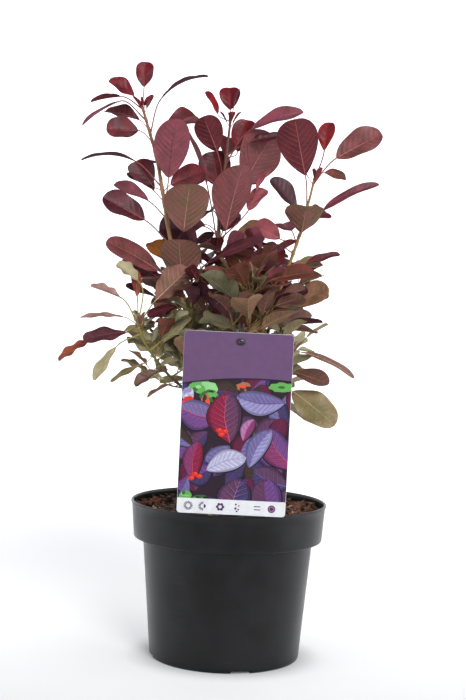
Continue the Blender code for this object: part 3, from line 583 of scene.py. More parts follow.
def spaced(points, spacing):
    """The same line drawn again through evenly spaced points."""
    lengths = [0.0]
    for a, b in zip(points, points[1:]):
        lengths.append(lengths[-1] + (b - a).length)
    count = max(2, round(lengths[-1] / spacing))
    result = []
    step = 0
    for i in range(count + 1):
        want = lengths[-1] * i / count
        while step < len(points) - 2 and lengths[step + 1] < want:
            step += 1
        span = lengths[step + 1] - lengths[step]
        share = (want - lengths[step]) / span if span > 0 else 0.0
        result.append(points[step].lerp(points[step + 1], min(1.0, share)))
    return result


def cut_at_height(points, height):
    """Splits a rising line at a height and returns the lower and the upper part."""
    for i, (low, high) in enumerate(zip(points, points[1:])):
        if low.z <= height < high.z:
            meet = low.lerp(high, (height - low.z) / (high.z - low.z))
            return points[:i + 1] + [meet], [meet] + points[i + 1:]
    raise ValueError("the line never reaches this height")


def tube_rings(points, radii, sides):
    """Rings set square to a line, turned so that they do not twist."""
    tangent = (points[1] - points[0]).normalized()
    side = tangent.cross(Vector((0.0, 1.0, 0.0))).normalized()
    corners = circle(sides)
    rings = []
    for i, (point, radius) in enumerate(zip(points, radii)):
        tangent = (points[min(i + 1, len(points) - 1)] - points[max(i - 1, 0)]).normalized()
        side = (side - tangent * side.dot(tangent)).normalized()
        other = tangent.cross(side)
        rings.append([point + radius * (x * side + y * other) for x, y in corners])
    return rings


def trunk_share(height):
    return (height - SOIL_LEVEL) / (TRUNK_TOP - SOIL_LEVEL)


def draw_shoot(spec):
    """Gives a shoot its line, from the trunk to its tip, and its stem, the leafy part of the line."""
    fork = Vector((0.0, 0.0, spec["fork"])) * MM + TRUNK_LEAN * trunk_share(spec["fork"] * MM)
    places = [Vector(place) * MM for place in (*spec["through"], spec["tip"])]
    spec["line"] = smooth_path([fork] + places, LINE_STEP)
    _, upper = cut_at_height(spec["line"], spec["leaves_from"] * MM)
    stem = spaced(upper, STEM_STEP)
    stem[0] = stem[0] + GAP * (stem[1] - stem[0]).normalized()
    spec["stem"] = stem


def limb_radii(points, spec):
    """Tapering radii for part of a shoot's line."""
    foot = spec["line"][0].z
    total = spec["line"][-1].z - foot
    low, high = spec["radius"]
    return [(low + (high - low) * ((point.z - foot) / total) ** 0.9) * MM for point in points]


def place_at_height(line, height):
    """The centre of a shoot at a height, at the most just below its tip."""
    height = min(height, line[-1].z - TIP_MARGIN)
    for low, high in zip(line, line[1:]):
        if low.z <= height < high.z:
            return low.lerp(high, (height - low.z) / (high.z - low.z))
    return line[-1].copy()


def node_on(shoot, height):
    """The place on a shoot's stem at a height in millimetres."""
    return place_at_height(SHOOTS[shoot]["stem"], height * MM)


def direction(bearing, rise):
    level = math.cos(math.radians(rise))
    return Vector((level * math.cos(math.radians(bearing)),
                   level * math.sin(math.radians(bearing)), math.sin(math.radians(rise))))


def half_width(share):
    """Outline of a blade: narrow at the petiole, widest past the middle, rounded at the tip."""
    return max(0.0, math.sin(math.pi * share ** 1.15)) ** 0.62


def leaf_sections(leaf, cuts, petiole_cuts=(0.0, 0.5, 1.0), steps=40):
    """Stations along a leaf: centre, side, upper side and share of the blade, None on the petiole."""
    out = direction(leaf["bearing"], leaf["blade_rise"])
    level = direction(leaf["bearing"], 0.0)
    side = level.cross(UP)
    upper = side.cross(out)
    turn = math.radians(leaf["show"]) * (1 if level.x >= 0 else -1)
    upper, side = (upper * math.cos(turn) + side * math.sin(turn),
                   side * math.cos(turn) - upper * math.sin(turn))
    bend = math.radians(leaf["curl"])
    first = (out * math.cos(bend) + upper * math.sin(bend)).normalized()
    stalk = direction(leaf["bearing"], leaf["petiole_rise"])
    pull = leaf["petiole"] / 3
    start = leaf["node"]
    base = start + leaf["petiole"] * stalk
    near = start + pull * stalk
    far = base - pull * first
    sections = []
    for t in petiole_cuts:
        point = ((1 - t) ** 3 * start + 3 * (1 - t) ** 2 * t * near
                 + 3 * (1 - t) * t * t * far + t ** 3 * base)
        sections.append((point, side, first.cross(side) * -1, None))
    point = base
    done = 0
    scale = leaf["blade"] / sum(math.cos(bend * (1 - 2 * (k + 0.5) / steps)) for k in range(steps))
    for cut in cuts:
        while done < round(cut * steps):
            angle = bend * (1 - 2 * (done + 0.5) / steps)
            point = point + scale * (out * math.cos(angle) + upper * math.sin(angle))
            done += 1
        angle = bend * (1 - 2 * cut)
        sections.append((point, side, upper * math.cos(angle) - out * math.sin(angle), cut))
    return sections


def leaf_solid(leaf, grow=0.0, skip=0):
    """Points and faces of one closed leaf, its petiole's root at the stem's centre line."""
    fold = math.radians(LEAF_FOLD)
    rings = []
    for point, side, upper, share in leaf_sections(leaf, BLADE_CUTS)[skip:]:
        across = thick = PETIOLE_RADIUS + grow
        lift = 0.0
        if share is not None:
            wide = leaf["width"] / 2 * half_width(share) + grow
            across = wide * math.cos(fold)
            lift = wide * math.sin(fold)
            thick = LEAF_THICKNESS * (1.0 - LEAF_THINNING * share) / 2 + grow
        rings.append([point + across * side + lift * upper, point + thick * upper,
                      point - across * side + lift * upper, point - thick * upper])
    return joined_rings(rings)


def new_leaf(shoot, node, bearing, petiole_rise, blade_rise, petiole, blade, width, show, curl, tone):
    """A leaf with its lengths in millimetres and its angles in degrees."""
    return dict(shoot=shoot, node=node, bearing=bearing, petiole_rise=petiole_rise,
                blade_rise=blade_rise, petiole=petiole * MM, blade=blade * MM, width=width * MM,
                show=show, curl=curl, tone=tone)


def leader_leaf(shoot, row, tone):
    return new_leaf(shoot, node_on(shoot, row[0]), *row[1:], tone)


def filling_leaves(shoot, dice):
    count, low, high, middle, reach = SHOOTS[shoot]["fill"]
    leaves = []
    for i, tone in enumerate(FILL_TONES[shoot].split()):
        share = (i + 0.5) / count
        node = node_on(shoot, low + (high - low) * share + dice.uniform(-3, 3))
        sweep = (i * GOLDEN_SHARE + 0.27) % 1.0
        bearing = middle + reach * (2 * sweep - 1) + dice.uniform(-8, 8)
        rise = dice.uniform(22, 46)
        blade = (52 - 14 * share) * dice.uniform(0.82, 1.1)
        leaves.append(new_leaf(
            shoot, node, bearing, rise, rise - dice.uniform(4, 34), dice.uniform(17, 30), blade,
            blade * dice.uniform(0.56, 0.7), dice.uniform(-38, 38), dice.uniform(4, 14), tone))
    return leaves


def tree_of(points, faces):
    return BVHTree.FromPolygons([tuple(p) for p in points], faces)


def touches(tree, others):
    return any(tree.overlap(other) for other in others)


def settle(leaf, limbs, placed, clearance=CLEARANCE):
    """Turns a leaf until it touches nothing, and adds it to those in place; leaves it out if it can't.

    Only its blade has to clear its own shoot and the blades there.
    """
    shoot = leaf["shoot"]
    foreign = [tree for name, tree in limbs if name != shoot]
    foreign += [other["whole_tree"] for other in placed if other["shoot"] != shoot]
    own = [tree for name, tree in limbs if name == shoot]
    own += [other["blade_tree"] for other in placed if other["shoot"] == shoot]
    bearing, rise, petiole_rise = leaf["bearing"], leaf["blade_rise"], leaf["petiole_rise"]
    for turn, lift in TURNS:
        leaf.update(bearing=bearing + turn, blade_rise=rise + lift, petiole_rise=petiole_rise + lift)
        if touches(tree_of(*leaf_solid(leaf, clearance, 1)), own):
            continue
        if not touches(tree_of(*leaf_solid(leaf, clearance)), foreign):
            leaf["whole_tree"] = tree_of(*leaf_solid(leaf))
            leaf["blade_tree"] = tree_of(*leaf_solid(leaf, 0.0, 1))
            placed.append(leaf)
            return


def limb_trees(solids):
    """What leaves must not touch: the solids, and the stem of each shoot under the shoot's name."""
    limbs = []
    for item in solids:
        faces = [tuple(face.vertices) for face in item.data.polygons]
        limbs.append(("", tree_of([v.co for v in item.data.vertices], faces)))
    for name, spec in SHOOTS.items():
        rings = tube_rings(spec["stem"], limb_radii(spec["stem"], spec), STEM_SIDES)
        limbs.append((name, tree_of(*joined_rings(rings))))
    return limbs


def plan_leaves(limbs):
    """Settles the leaders of every shoot first and the filling leaves after them."""
    dice = random.Random(LEAF_SEED)
    wanted = []
    for shoot, rows in LEADERS.items():
        tones = LEADER_TONES[shoot].split()
        wanted += [leader_leaf(shoot, row, tone) for row, tone in zip(rows, tones)]
    for shoot in SHOOTS:
        wanted += filling_leaves(shoot, dice)
    placed = []
    for leaf in wanted:
        settle(leaf, limbs, placed)
    return placed


# Meshes


def blade_outline(leaf, share):
    """Fine outline of a blade: straight-sided at the petiole, broadly rounded at the tip."""
    low, high = leaf["outline"]
    peak = low / (low + high)
    share = min(1.0, max(0.0, share))
    return share ** low * (1 - share) ** high / (peak ** low * (1 - peak) ** high)


def make_piece(name, points, faces, finishes=(), shares=None, sharp=None):
    """A smooth mesh object with its finishes, each face's share being the number of its finish."""
    mesh = bpy.data.meshes.new(name)
    mesh.from_pydata([tuple(p) for p in points], [], faces)
    for finish in finishes:
        mesh.materials.append(finish)
    mesh.shade_smooth()
    if shares:
        mesh.polygons.foreach_set("material_index", shares)
    if sharp is not None:
        mesh.set_sharp_from_angle(angle=math.radians(sharp))
    mesh.update()
    item = bpy.data.objects.new(name, mesh)
    bpy.context.scene.collection.objects.link(item)
    return item


def ride_as(item, slot, *nodes):
    """The piece goes with the plant and stands for its nodes; its slot is not used."""
    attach(item, "root")
    if nodes:
        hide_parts(*nodes)


def modified(item, kind, **settings):
    """Replaces the object's mesh by what one modifier makes of it."""
    step = item.modifiers.new(kind, kind)
    for name, value in settings.items():
        setattr(step, name, value)
    graph = bpy.context.evaluated_depsgraph_get()
    result = bpy.data.meshes.new_from_object(item.evaluated_get(graph))
    item.modifiers.clear()
    item.data = result


class Heap:
    """Points and faces of many shapes that become one piece, and the nodes that it stands for."""

    def __init__(self, *nodes):
        self.points = []
        self.faces = []
        self.shares = []
        self.nodes = set(nodes)

    def add(self, points, faces, share=0):
        first = len(self.points)
        self.points.extend(points)
        for i, face in enumerate(faces):
            self.faces.append([first + k for k in face])
            self.shares.append(share if isinstance(share, int) else share[i])

    def add_tube(self, points, radii, sides, share=0):
        self.add(*joined_rings(tube_rings(points, radii, sides)), share)

    def add_solid(self, solid):
        """Takes over the shape of a bmesh."""
        solid.verts.index_update()
        self.add([v.co.copy() for v in solid.verts], [[v.index for v in f.verts] for f in solid.faces])
        solid.free()

    def place(self, name, slot, finishes, sharp=None):
        item = make_piece(name, self.points, self.faces, finishes, self.shares, sharp)
        ride_as(item, slot, *sorted(self.nodes))
        return item


# Colours and finishes


def screen(red, green, blue):
    """A colour as it looks on a screen, turned into light."""
    def light(value):
        value = value / 255
        return value / 12.92 if value <= 0.04045 else ((value + 0.055) / 1.055) ** 2.4
    return (light(red), light(green), light(blue), 1.0)


def tinted(colour, factor):
    return tuple(min(255, c * factor) for c in colour)


def between(first, second, share):
    return tuple(a + (b - a) * share for a, b in zip(first, second))


def new_group(name, inputs):
    """A new effect, the sockets of its named inputs, and the place on the object."""
    group = bpy.data.node_groups.new(name, "ShaderNodeTree")
    for label, value in inputs.items():
        kind = "NodeSocketColor" if isinstance(value, tuple) else "NodeSocketFloat"
        group.interface.new_socket(label, in_out="INPUT", socket_type=kind).default_value = value
    for label, kind in (("Colour", "Color"), ("Roughness", "Float"), ("Height", "Float")):
        group.interface.new_socket(label, in_out="OUTPUT", socket_type="NodeSocket" + kind)
    entry = group.nodes.new("NodeGroupInput").outputs
    return group, entry, node_in(group, "TexCoord").outputs["Object"]


def close_group(group, colour, roughness, height):
    """Leads an effect's results to its outputs."""
    leave = group.nodes.new("NodeGroupOutput")
    for result, socket in zip((colour, roughness, height), leave.inputs):
        group.links.new(result, socket)
    return group


def node_in(tree, kind, feeds=None, **settings):
    """A shader node with its settings; a feed is a socket that leads to an input, or its value."""
    node = tree.nodes.new("ShaderNode" + kind)
    for name, value in settings.items():
        setattr(node, name, value)
    for label, value in (feeds or {}).items():
        if isinstance(value, bpy.types.NodeSocket):
            tree.links.new(value, node.inputs[label])
        else:
            node.inputs[label].default_value = value
    return node


def sum_of(tree, operation, first, second):
    """One arithmetic step; each side is a socket or a number."""
    return node_in(tree, "Math", {0: first, 1: second}, operation=operation).outputs[0]


def mixed(tree, share, first, second):
    """A colour between two colours."""
    feeds = {0: share, 6: first, 7: second}
    return node_in(tree, "Mix", feeds, data_type="RGBA", clamp_factor=True).outputs[2]


def ramped(tree, value, low, high, start=0.0, stop=1.0):
    """A value spread from low..high to start..stop, held at both ends."""
    feeds = {"Value": value, "From Min": low, "From Max": high, "To Min": start, "To Max": stop}
    return node_in(tree, "MapRange", feeds, clamp=True, interpolation_type="SMOOTHSTEP").outputs[0]


def noise_of(tree, place, scale, detail, stretch=None):
    """A noise value over the surface; the scale is a socket or a number per metre."""
    if stretch:
        place = node_in(tree, "Mapping", {"Vector": place, "Scale": stretch}).outputs[0]
    feeds = {"Vector": place, "Scale": scale, "Detail": detail}
    return node_in(tree, "TexNoise", feeds).outputs["Fac"]


def mottle_group():
    """Two colours in soft patches, with a finer grain over them."""
    group, entry, place = new_group("Mottle", {
        "Colour": (0.2, 0.2, 0.2, 1.0), "Tint": (0.3, 0.3, 0.3, 1.0), "Patches": 60.0,
        "Grain": 900.0, "Grit": 0.22, "Amount": 0.5, "Roughness": 0.5})
    patches = noise_of(group, place, entry["Patches"], 2.0)
    grain = noise_of(group, place, entry["Grain"], 4.0)
    share = sum_of(group, "MULTIPLY", ramped(group, patches, 0.35, 0.68), entry["Amount"])
    colour = mixed(group, share, entry["Colour"], entry["Tint"])
    darker = mixed(group, entry["Grit"], colour, BLACK)
    colour = mixed(group, ramped(group, grain, 0.3, 0.7), darker, colour)
    change = sum_of(group, "MULTIPLY", sum_of(group, "SUBTRACT", grain, 0.5), 0.22)
    return close_group(group, colour, sum_of(group, "ADD", entry["Roughness"], change), grain)


def scuff_group():
    """Fine level scratches and pale specks, as rubbed plastic has."""
    group, entry, place = new_group("Scuffs", {
        "Colour": (0.02, 0.02, 0.02, 1.0), "Mark": (0.1, 0.1, 0.1, 1.0), "Amount": 0.3,
        "Roughness": 0.4})
    lines = ramped(group, noise_of(group, place, 1.0, 2.0, (22.0, 22.0, 1900.0)), 0.62, 0.74)
    where = ramped(group, noise_of(group, place, 26.0, 2.0), 0.52, 0.66)
    specks = ramped(group, noise_of(group, place, 1150.0, 1.0), 0.74, 0.80)
    marks = sum_of(group, "MAXIMUM", sum_of(group, "MULTIPLY", lines, where), specks)
    share = sum_of(group, "MULTIPLY", marks, entry["Amount"])
    haze = sum_of(group, "MULTIPLY", ramped(group, noise_of(group, place, 34.0, 4.0), 0.3, 0.75), 0.10)
    colour = mixed(group, haze, entry["Colour"], entry["Mark"])
    colour = mixed(group, share, colour, entry["Mark"])
    rough = sum_of(group, "ADD", entry["Roughness"], sum_of(group, "MULTIPLY", haze, 0.9))
    return close_group(group, colour, rough, noise_of(group, place, 2600.0, 2.0))


def bark_group():
    """Bark that runs from one colour to another with height, with streaks and pale pores."""
    group, entry, place = new_group("Bark", {
        "Low": (0.2, 0.1, 0.05, 1.0), "High": (0.3, 0.2, 0.1, 1.0), "From": 0.3, "To": 0.5,
        "Streaks": 1.0})
    height = node_in(group, "SeparateXYZ", {0: place}).outputs["Z"]
    above = sum_of(group, "SUBTRACT", height, entry["From"])
    share = sum_of(group, "DIVIDE", above, sum_of(group, "SUBTRACT", entry["To"], entry["From"]))
    colour = mixed(group, share, entry["Low"], entry["High"])
    streaks = noise_of(group, place, 1.0, 4.0, (900.0, 900.0, 90.0))
    dark = mixed(group, 0.45, colour, (0.01, 0.006, 0.004, 1.0))
    shade = sum_of(group, "MULTIPLY", ramped(group, streaks, 0.42, 0.66), entry["Streaks"])
    colour = mixed(group, shade, colour, dark)
    pores = ramped(group, noise_of(group, place, 1.0, 1.0, (520.0, 520.0, 360.0)), 0.70, 0.76)
    colour = mixed(group, pores, colour, mixed(group, 0.35, colour, (0.55, 0.42, 0.28, 1.0)))
    rough = ramped(group, streaks, 0.2, 0.8, 0.5, 0.8)
    return close_group(group, colour, rough, sum_of(group, "ADD", streaks, pores))


MOTTLE = mottle_group()
SCUFFS = scuff_group()
BARK = bark_group()


def finish_of(name, group, values, bump, grain_depth=0.2 * MM, **plain):
    """A material that takes its colour, roughness and grain from an effect."""
    material = bpy.data.materials.new(name)
    material.use_nodes = True
    tree = material.node_tree
    shader = tree.nodes["Principled BSDF"]
    effect = node_in(tree, "Group", values, node_tree=group).outputs
    tree.links.new(effect["Colour"], shader.inputs["Base Color"])
    tree.links.new(effect["Roughness"], shader.inputs["Roughness"])
    if bump:
        feeds = {"Height": effect["Height"], "Strength": bump, "Distance": grain_depth}
        tree.links.new(node_in(tree, "Bump", feeds).outputs[0], shader.inputs["Normal"])
    for label, value in plain.items():
        shader.inputs[label.replace("_", " ")].default_value = value
    return material


def mottled(name, colour, tint, patches, amount, roughness, grain=900.0, bump=0.15, specular=0.3,
            grit=0.15):
    return finish_of(name, MOTTLE, {
        "Colour": screen(*colour), "Tint": screen(*tint), "Patches": patches, "Grain": grain,
        "Grit": grit, "Amount": amount, "Roughness": roughness}, bump, Specular_IOR_Level=specular)


def scuffed(name, colour, mark, amount, roughness, bump, **others):
    return finish_of(name, SCUFFS, {
        "Colour": screen(*colour), "Mark": screen(*mark), "Amount": amount,
        "Roughness": roughness}, bump, **others)


def barked(name, low, high, start, stop, streaks, bump, **others):
    return finish_of(name, BARK, {
        "Low": screen(*low), "High": screen(*high), "From": start, "To": stop,
        "Streaks": streaks}, bump, **others)


# Leaves


def fine_cuts(count):
    """Shares of a length, closer together near both ends."""
    return [0.45 * share + 0.55 * (0.5 - 0.5 * math.cos(math.pi * share)) for share in even_steps(count)]


def dress_leaf(leaf, dice):
    """Adds what only the fine leaf has: its own outline, veins, quilting and wavy edge."""
    crumpled = leaf["shoot"] in CRUMPLED_SHOOTS
    leaf.update(
        veins=max(5, round(leaf["blade"] / VEIN_SPACING)),
        outline=(dice.uniform(0.68, 0.92), dice.uniform(0.46, 0.54)),
        quilt=min(1.25, 0.024 * leaf["width"] / MM + 0.26) * MM,
        ripples=dice.uniform(0.8, 1.7) * (1.7 if crumpled else 1.0),
        phase=dice.random(),
        wave=(0.075 if crumpled else 0.06) * leaf["width"] * dice.uniform(0.5, 1.3),
        cup=dice.uniform(-0.09, 0.15) * leaf["width"],
        fold=LEAF_FOLD + (YOUNG_FOLD if leaf["blade"] < SHORT_BLADE else 0.0))


def vein_run(leaf, reach):
    """Share of the blade that a side vein has run along when it is this far out from the midrib."""
    bow = 0.85 + VEIN_BOW * reach / leaf["width"]
    return reach * bow / (leaf["blade"] * math.tan(math.radians(VEIN_ANGLE)))


def blade_place(leaf, section, across, layer=0.0):
    """A place on the blade: across from -1 to 1, layer above or below its middle sheet."""
    point, side, upper, share = section
    fold = math.radians(leaf["fold"])
    wide = leaf["width"] / 2 * max(0.012, blade_outline(leaf, share))
    lift = wide * math.sin(fold) * (math.hypot(across, RIB_ROUNDING) - RIB_ROUNDING)
    root = share - vein_run(leaf, wide * abs(across))
    vein = (root * leaf["veins"] + VEIN_RAKE) / (1 + VEIN_RAKE / leaf["veins"])
    pillow = abs(math.sin(math.pi * vein)) ** 1.25
    body = math.sin(math.pi * min(1.0, max(0.0, share))) ** 0.5
    lift += leaf["quilt"] * pillow * min(1.0, 2.6 * abs(across)) * (1.0 - abs(across) ** 6) * body
    turn = leaf["ripples"] * share + leaf["phase"] + (0.37 if across > 0 else 0.0)
    lift += leaf["wave"] * across * across * math.sin(math.tau * turn) * body
    lift += leaf["cup"] * (across * across - 0.3) * body
    return point + wide * math.cos(fold) * across * side + (lift + layer) * upper


def blade_grid(leaf, small):
    """Steps along and across a blade, fewer where it is small."""
    if leaf["width"] < THREAD_WIDTH:
        return 10, 2
    if small:
        return 22, 6
    return (38, 10) if leaf["blade"] < MIDDLING_BLADE else (50, 14)


def add_blade(heap, leaf, stations, columns):
    """The thin closed sheet of a blade; share 0 is its upper side, share 1 its underside."""
    steps = [2 * k / columns - 1 for k in range(columns + 1)]
    rings = []
    for section in leaf_sections(leaf, fine_cuts(stations), (), BLADE_STEPS):
        upper, under = ([blade_place(leaf, section, v, hand * BLADE_SHEET * (0.5 - 0.25 * v * v))
                         for v in steps] for hand in (1, -1))
        rings.append(upper + under[::-1])
    points, faces = joined_rings(rings)
    row = [0] * (columns + 1) + [1] * columns + [0]
    heap.add(points, faces, [0] + row * (len(rings) - 1) + [0])


def section_at(sections, share):
    """The station of a blade at any share, between its two neighbours."""
    for low, high in zip(sections, sections[1:]):
        if share <= high[3]:
            t = (share - low[3]) / (high[3] - low[3])
            return (low[0].lerp(high[0], t), low[1].lerp(high[1], t), low[2].lerp(high[2], t), share)
    return sections[-1]


def add_veins(heap, leaf):
    """Midrib and side veins, standing slightly proud of both sides of the blade."""
    sections = leaf_sections(leaf, even_steps(40), (), BLADE_STEPS)
    size = min(1.0, 0.4 + leaf["blade"] / (80 * MM))
    midrib = [blade_place(leaf, section, 0.0) for section in sections[:40:2]]
    heap.add_tube(midrib, [size * (0.58 - 0.38 * k / 20) * MM for k in range(20)], 5)
    half = leaf["width"] / 2
    for j in range(1, leaf["veins"]):
        for hand in (-1, 1):
            stray = VEIN_STRAY * math.sin(7.0 * j + 2.0 * hand + 40.0 * leaf["phase"])
            start = (j + stray - VEIN_RAKE * (1 - j / leaf["veins"])) / leaf["veins"]
            line = []
            for along in even_steps(VEIN_POINTS - 1):
                reach = half * (0.02 + along)
                share = start + vein_run(leaf, reach)
                if share > VEIN_END:
                    break
                across = reach / (half * blade_outline(leaf, share))
                if across > VEIN_EDGE:
                    break
                line.append(blade_place(leaf, section_at(sections, share), hand * across))
            if len(line) > 2:
                heap.add_tube(line, [size * (0.37 - 0.02 * k) * MM for k in range(len(line))], 3, 1)


def add_petiole(heap, leaf):
    """The leaf's stalk, from inside the stem to just inside the blade."""
    sections = leaf_sections(leaf, (0.02, 0.06), even_steps(10), BLADE_STEPS)
    size = min(1.0, 0.45 + leaf["petiole"] / (60 * MM))
    radii = [0.62 + 0.5 * math.exp(-k / 1.3) for k in range(11)] + [0.56, 0.5]
    heap.add_tube([section[0] for section in sections], [size * r * MM for r in radii], 6)


def add_bud(heap, leaf):
    """A small pointed bud in the corner above a leaf's stalk."""
    out = direction(leaf["bearing"], leaf["petiole_rise"] + 38)
    foot = leaf["node"] + out * BUD_RISE
    points = [foot + out * BUD_SIZE * t for t in (-0.4, 0.2, 0.7, 1.15, 1.5)]
    heap.add_tube(points, [BUD_SIZE * r for r in (0.2, 0.46, 0.5, 0.3, 0.05)], 6)


def small_leaf(shoot, node, bearing, rise, blade, slim, petiole, show, curl, tone):
    return new_leaf(shoot, node, bearing, rise, rise, petiole, blade, blade * slim, show, curl, tone)


def tip_leaves(shoot, dice):
    """The folded young leaves at the end of a shoot."""
    line = SHOOTS[shoot]["line"]
    tones = ("scarlet", "crimson", "garnet") if shoot in RED_TIPPED else ("olive", "khaki", "umber")
    leaves = []
    for i in range(TIP_LEAVES):
        node = place_at_height(line, line[-1].z - (1.0 + 1.6 * i) * MM)
        leaves.append(small_leaf(
            shoot, node, GOLDEN_ANGLE * i + dice.uniform(-15, 15), dice.uniform(48, 76),
            6.5 + 1.7 * i, dice.uniform(0.3, 0.46), 1.5 + 0.8 * i, dice.uniform(-20, 20),
            dice.uniform(4, 16), tones[i % 3]))
    return leaves


def twig_line(shoot, height, bearing, rise, length):
    foot = node_on(shoot, height)
    first = foot + direction(bearing, rise) * length * 0.45 * MM
    tip = first + direction(bearing + 8, min(86, rise + 20)) * length * 0.55 * MM
    return smooth_path([foot, first, tip], 2.5 * MM)


def add_twig_leaves(placed, shoot, line, dice, limbs):
    """Leaves all along a side twig, smaller towards its tip, each where it finds room."""
    for i in range(TWIG_LEAVES):
        share = 0.22 + 0.78 * i / (TWIG_LEAVES - 1)
        node = line[round(share * (len(line) - 1))]
        height = node.z / MM + dice.uniform(-14, 14)
        tones = next(tones for top, tones in TWIG_TONES if height < top)
        leaf = small_leaf(
            shoot, node, GOLDEN_ANGLE * i + dice.uniform(-20, 20), dice.uniform(14, 58),
            dice.uniform(27, 40) * (1.12 - 0.42 * share), dice.uniform(0.5, 0.68),
            dice.uniform(7, 15) * (1.2 - 0.5 * share), dice.uniform(-45, 45),
            dice.uniform(4, 18), dice.choice(tones.split()))
        leaf["blade_rise"] -= dice.uniform(0, 30)
        settle(leaf, limbs, placed, TWIG_CLEARANCE)


def tuft_leaves(shoot, height, bearing, count, dice):
    node = node_on(shoot, height)
    return [small_leaf(
        shoot, node, bearing + dice.uniform(-120, 120), dice.uniform(-20, 80), dice.uniform(11, 24),
        dice.uniform(0.045, 0.07), dice.uniform(10, 26), dice.uniform(-30, 30), dice.uniform(2, 30),
        "lime") for _ in range(count)]


def grow_twigs(leaves, limbs, dice):
    """Grows and adds leaves to the planned ones; gives the side twigs and all the small leaves."""
    for number, wider, longer in GROWN:
        leaves[number]["width"] *= wider
        leaves[number]["blade"] *= longer
    for shoot, tone, row in LATE_LEAVES:
        settle(leader_leaf(shoot, row, tone), limbs, leaves, TWIG_CLEARANCE)
    small = [leaf for shoot in SHOOTS for leaf in tip_leaves(shoot, dice)]
    placed = list(leaves)
    twigs = Heap()
    for shoot, rows in TWIGS.items():
        twigs.nodes.add("foliage_" + shoot)
        for row in rows:
            line = twig_line(shoot, *row)
            twigs.add_tube(line, [(0.85 - 0.5 * k / len(line)) * MM for k in range(len(line))], 6)
            add_twig_leaves(placed, shoot, line, dice, limbs)
    small += placed[len(leaves):]
    for shoot, height, bearing, count in TUFTS:
        small += tuft_leaves(shoot, height, bearing, count, dice)
    return twigs, small


def leaf_slot(tone):
    return "olive_leaves" if tone in (*GREEN_STALKED, "tan") else "purple_leaves"


def make_leaves(leaves, limbs):
    """All leaves, joined by tone, with their veins, stalks and buds joined by colour."""
    dice = random.Random(DRESS_SEED)
    twigs, small_leaves = grow_twigs(leaves, limbs, dice)
    blades, veins = {}, {}
    stalks = {kind: Heap() for kind in STALK_COLOURS}
    buds = Heap()
    for i, leaf in enumerate(leaves + small_leaves):
        dress_leaf(leaf, dice)
        if i in LEFT_OUT:
            continue
        small = i >= len(leaves)
        tone = leaf["tone"]
        blade = blades.setdefault(tone, Heap())
        add_blade(blade, leaf, *blade_grid(leaf, small))
        stalk = stalks["green" if tone in GREEN_STALKED else "red"]
        add_petiole(stalk, leaf)
        used = [blade, stalk]
        if leaf["width"] >= VEINED_WIDTH:
            used.append(veins.setdefault(tone, Heap()))
            add_veins(used[-1], leaf)
        if not small:
            used.append(buds)
            add_bud(buds, leaf)
        for heap in used:
            heap.nodes.add("foliage_" + leaf["shoot"])

    for tone, heap in blades.items():
        upper, upper_patch, under, under_patch, _ = TONES[tone]
        heap.place("leaves_" + tone, leaf_slot(tone), [
            mottled("leaf_" + tone, tinted(upper, 1.06), upper_patch, patches=75.0, amount=0.95,
                    roughness=0.42, specular=0.25),
            mottled("underleaf_" + tone, under, under_patch, patches=90.0, amount=0.9,
                    roughness=0.65, specular=0.12)], BLADE_SHARP)
    for tone, heap in veins.items():
        rib = TONES[tone][4]
        side = between(TONES[tone][0], rib, 0.62)
        heap.place("veins_" + tone, leaf_slot(tone), [
            mottled(kind + tone, colour, tinted(colour, 1.12), patches=200.0, amount=0.6,
                    roughness=roughness)
            for kind, colour, roughness in (("rib_", rib, 0.55), ("side_vein_", side, 0.6))])
    for kind, heap in stalks.items():
        colour = STALK_COLOURS[kind]
        heap.place("stalks_" + kind, "bough_bark", [mottled(
            "stalk_" + kind, colour, tinted(colour, 1.3), patches=160.0, amount=0.8, roughness=0.45)])
    buds.place("buds", "bough_bark", [mottled(
        "bud_scale", (104, 52, 44), (142, 84, 60), patches=300.0, amount=0.8, roughness=0.5)])
    twigs.place("side_twigs", "bough_bark", [mottled(
        "young_twig", (116, 96, 54), (138, 128, 66), patches=120.0, amount=0.9, roughness=0.5)])


# Stems, boughs and trunk


def make_stems(leaves):
    """The leafy part of each shoot, swollen where a leaf is borne."""
    for name, spec in SHOOTS.items():
        _, upper = cut_at_height(spec["line"], (spec["leaves_from"] - STEM_OVERLAP) * MM)
        points = spaced(upper, FINE_STEM_STEP)
        heights = [leaf["node"].z for leaf in leaves if leaf["shoot"] == name]
        radii = []
        for point, radius in zip(points, limb_radii(points, spec)):
            swell = max((math.exp(-((point.z - z) / NODE_REACH) ** 2) for z in heights), default=0.0)
            radii.append(radius * (1.0 + NODE_SWELL * swell))
        radii[-1] *= 0.5
        stem = Heap("foliage_" + name)
        stem.add_tube(points, radii, FINE_STEM_SIDES)
        low, high, start, stop = STEM_TONES[name]
        stem.place("stem_" + name, "bough_bark", [
            barked("bark_" + name, low, high, start * MM, stop * MM, streaks=0.55, bump=0.4)])


def trunk_rings():
    """The trunk, its lobes spreading at the foot."""
    foot = SOIL_LEVEL - TRUNK_SUNK
    rings = []
    for share in even_steps(TRUNK_ROWS - 1):
        height = foot + (TRUNK_TOP - foot) * share
        lean = trunk_share(max(height, SOIL_LEVEL))
        centre = Vector((0.0, 0.0, height)) + TRUNK_LEAN * lean
        radius = TRUNK_FOOT_RADIUS + (TRUNK_TOP_RADIUS - TRUNK_FOOT_RADIUS) * lean
        flare = TRUNK_FLARE * math.exp(-max(0.0, height - SOIL_LEVEL) / TRUNK_FLARE_HEIGHT)
        ring = []
        for i, (x, y) in enumerate(circle(TRUNK_SIDES)):
            lobe = 0.5 + 0.5 * math.cos(TRUNK_ROOTS * math.tau * i / TRUNK_SIDES + ROOT_TURN)
            ring.append(centre + (radius + flare * lobe) * Vector((x, y, 0.0)))
        rings.append(ring)
    return rings


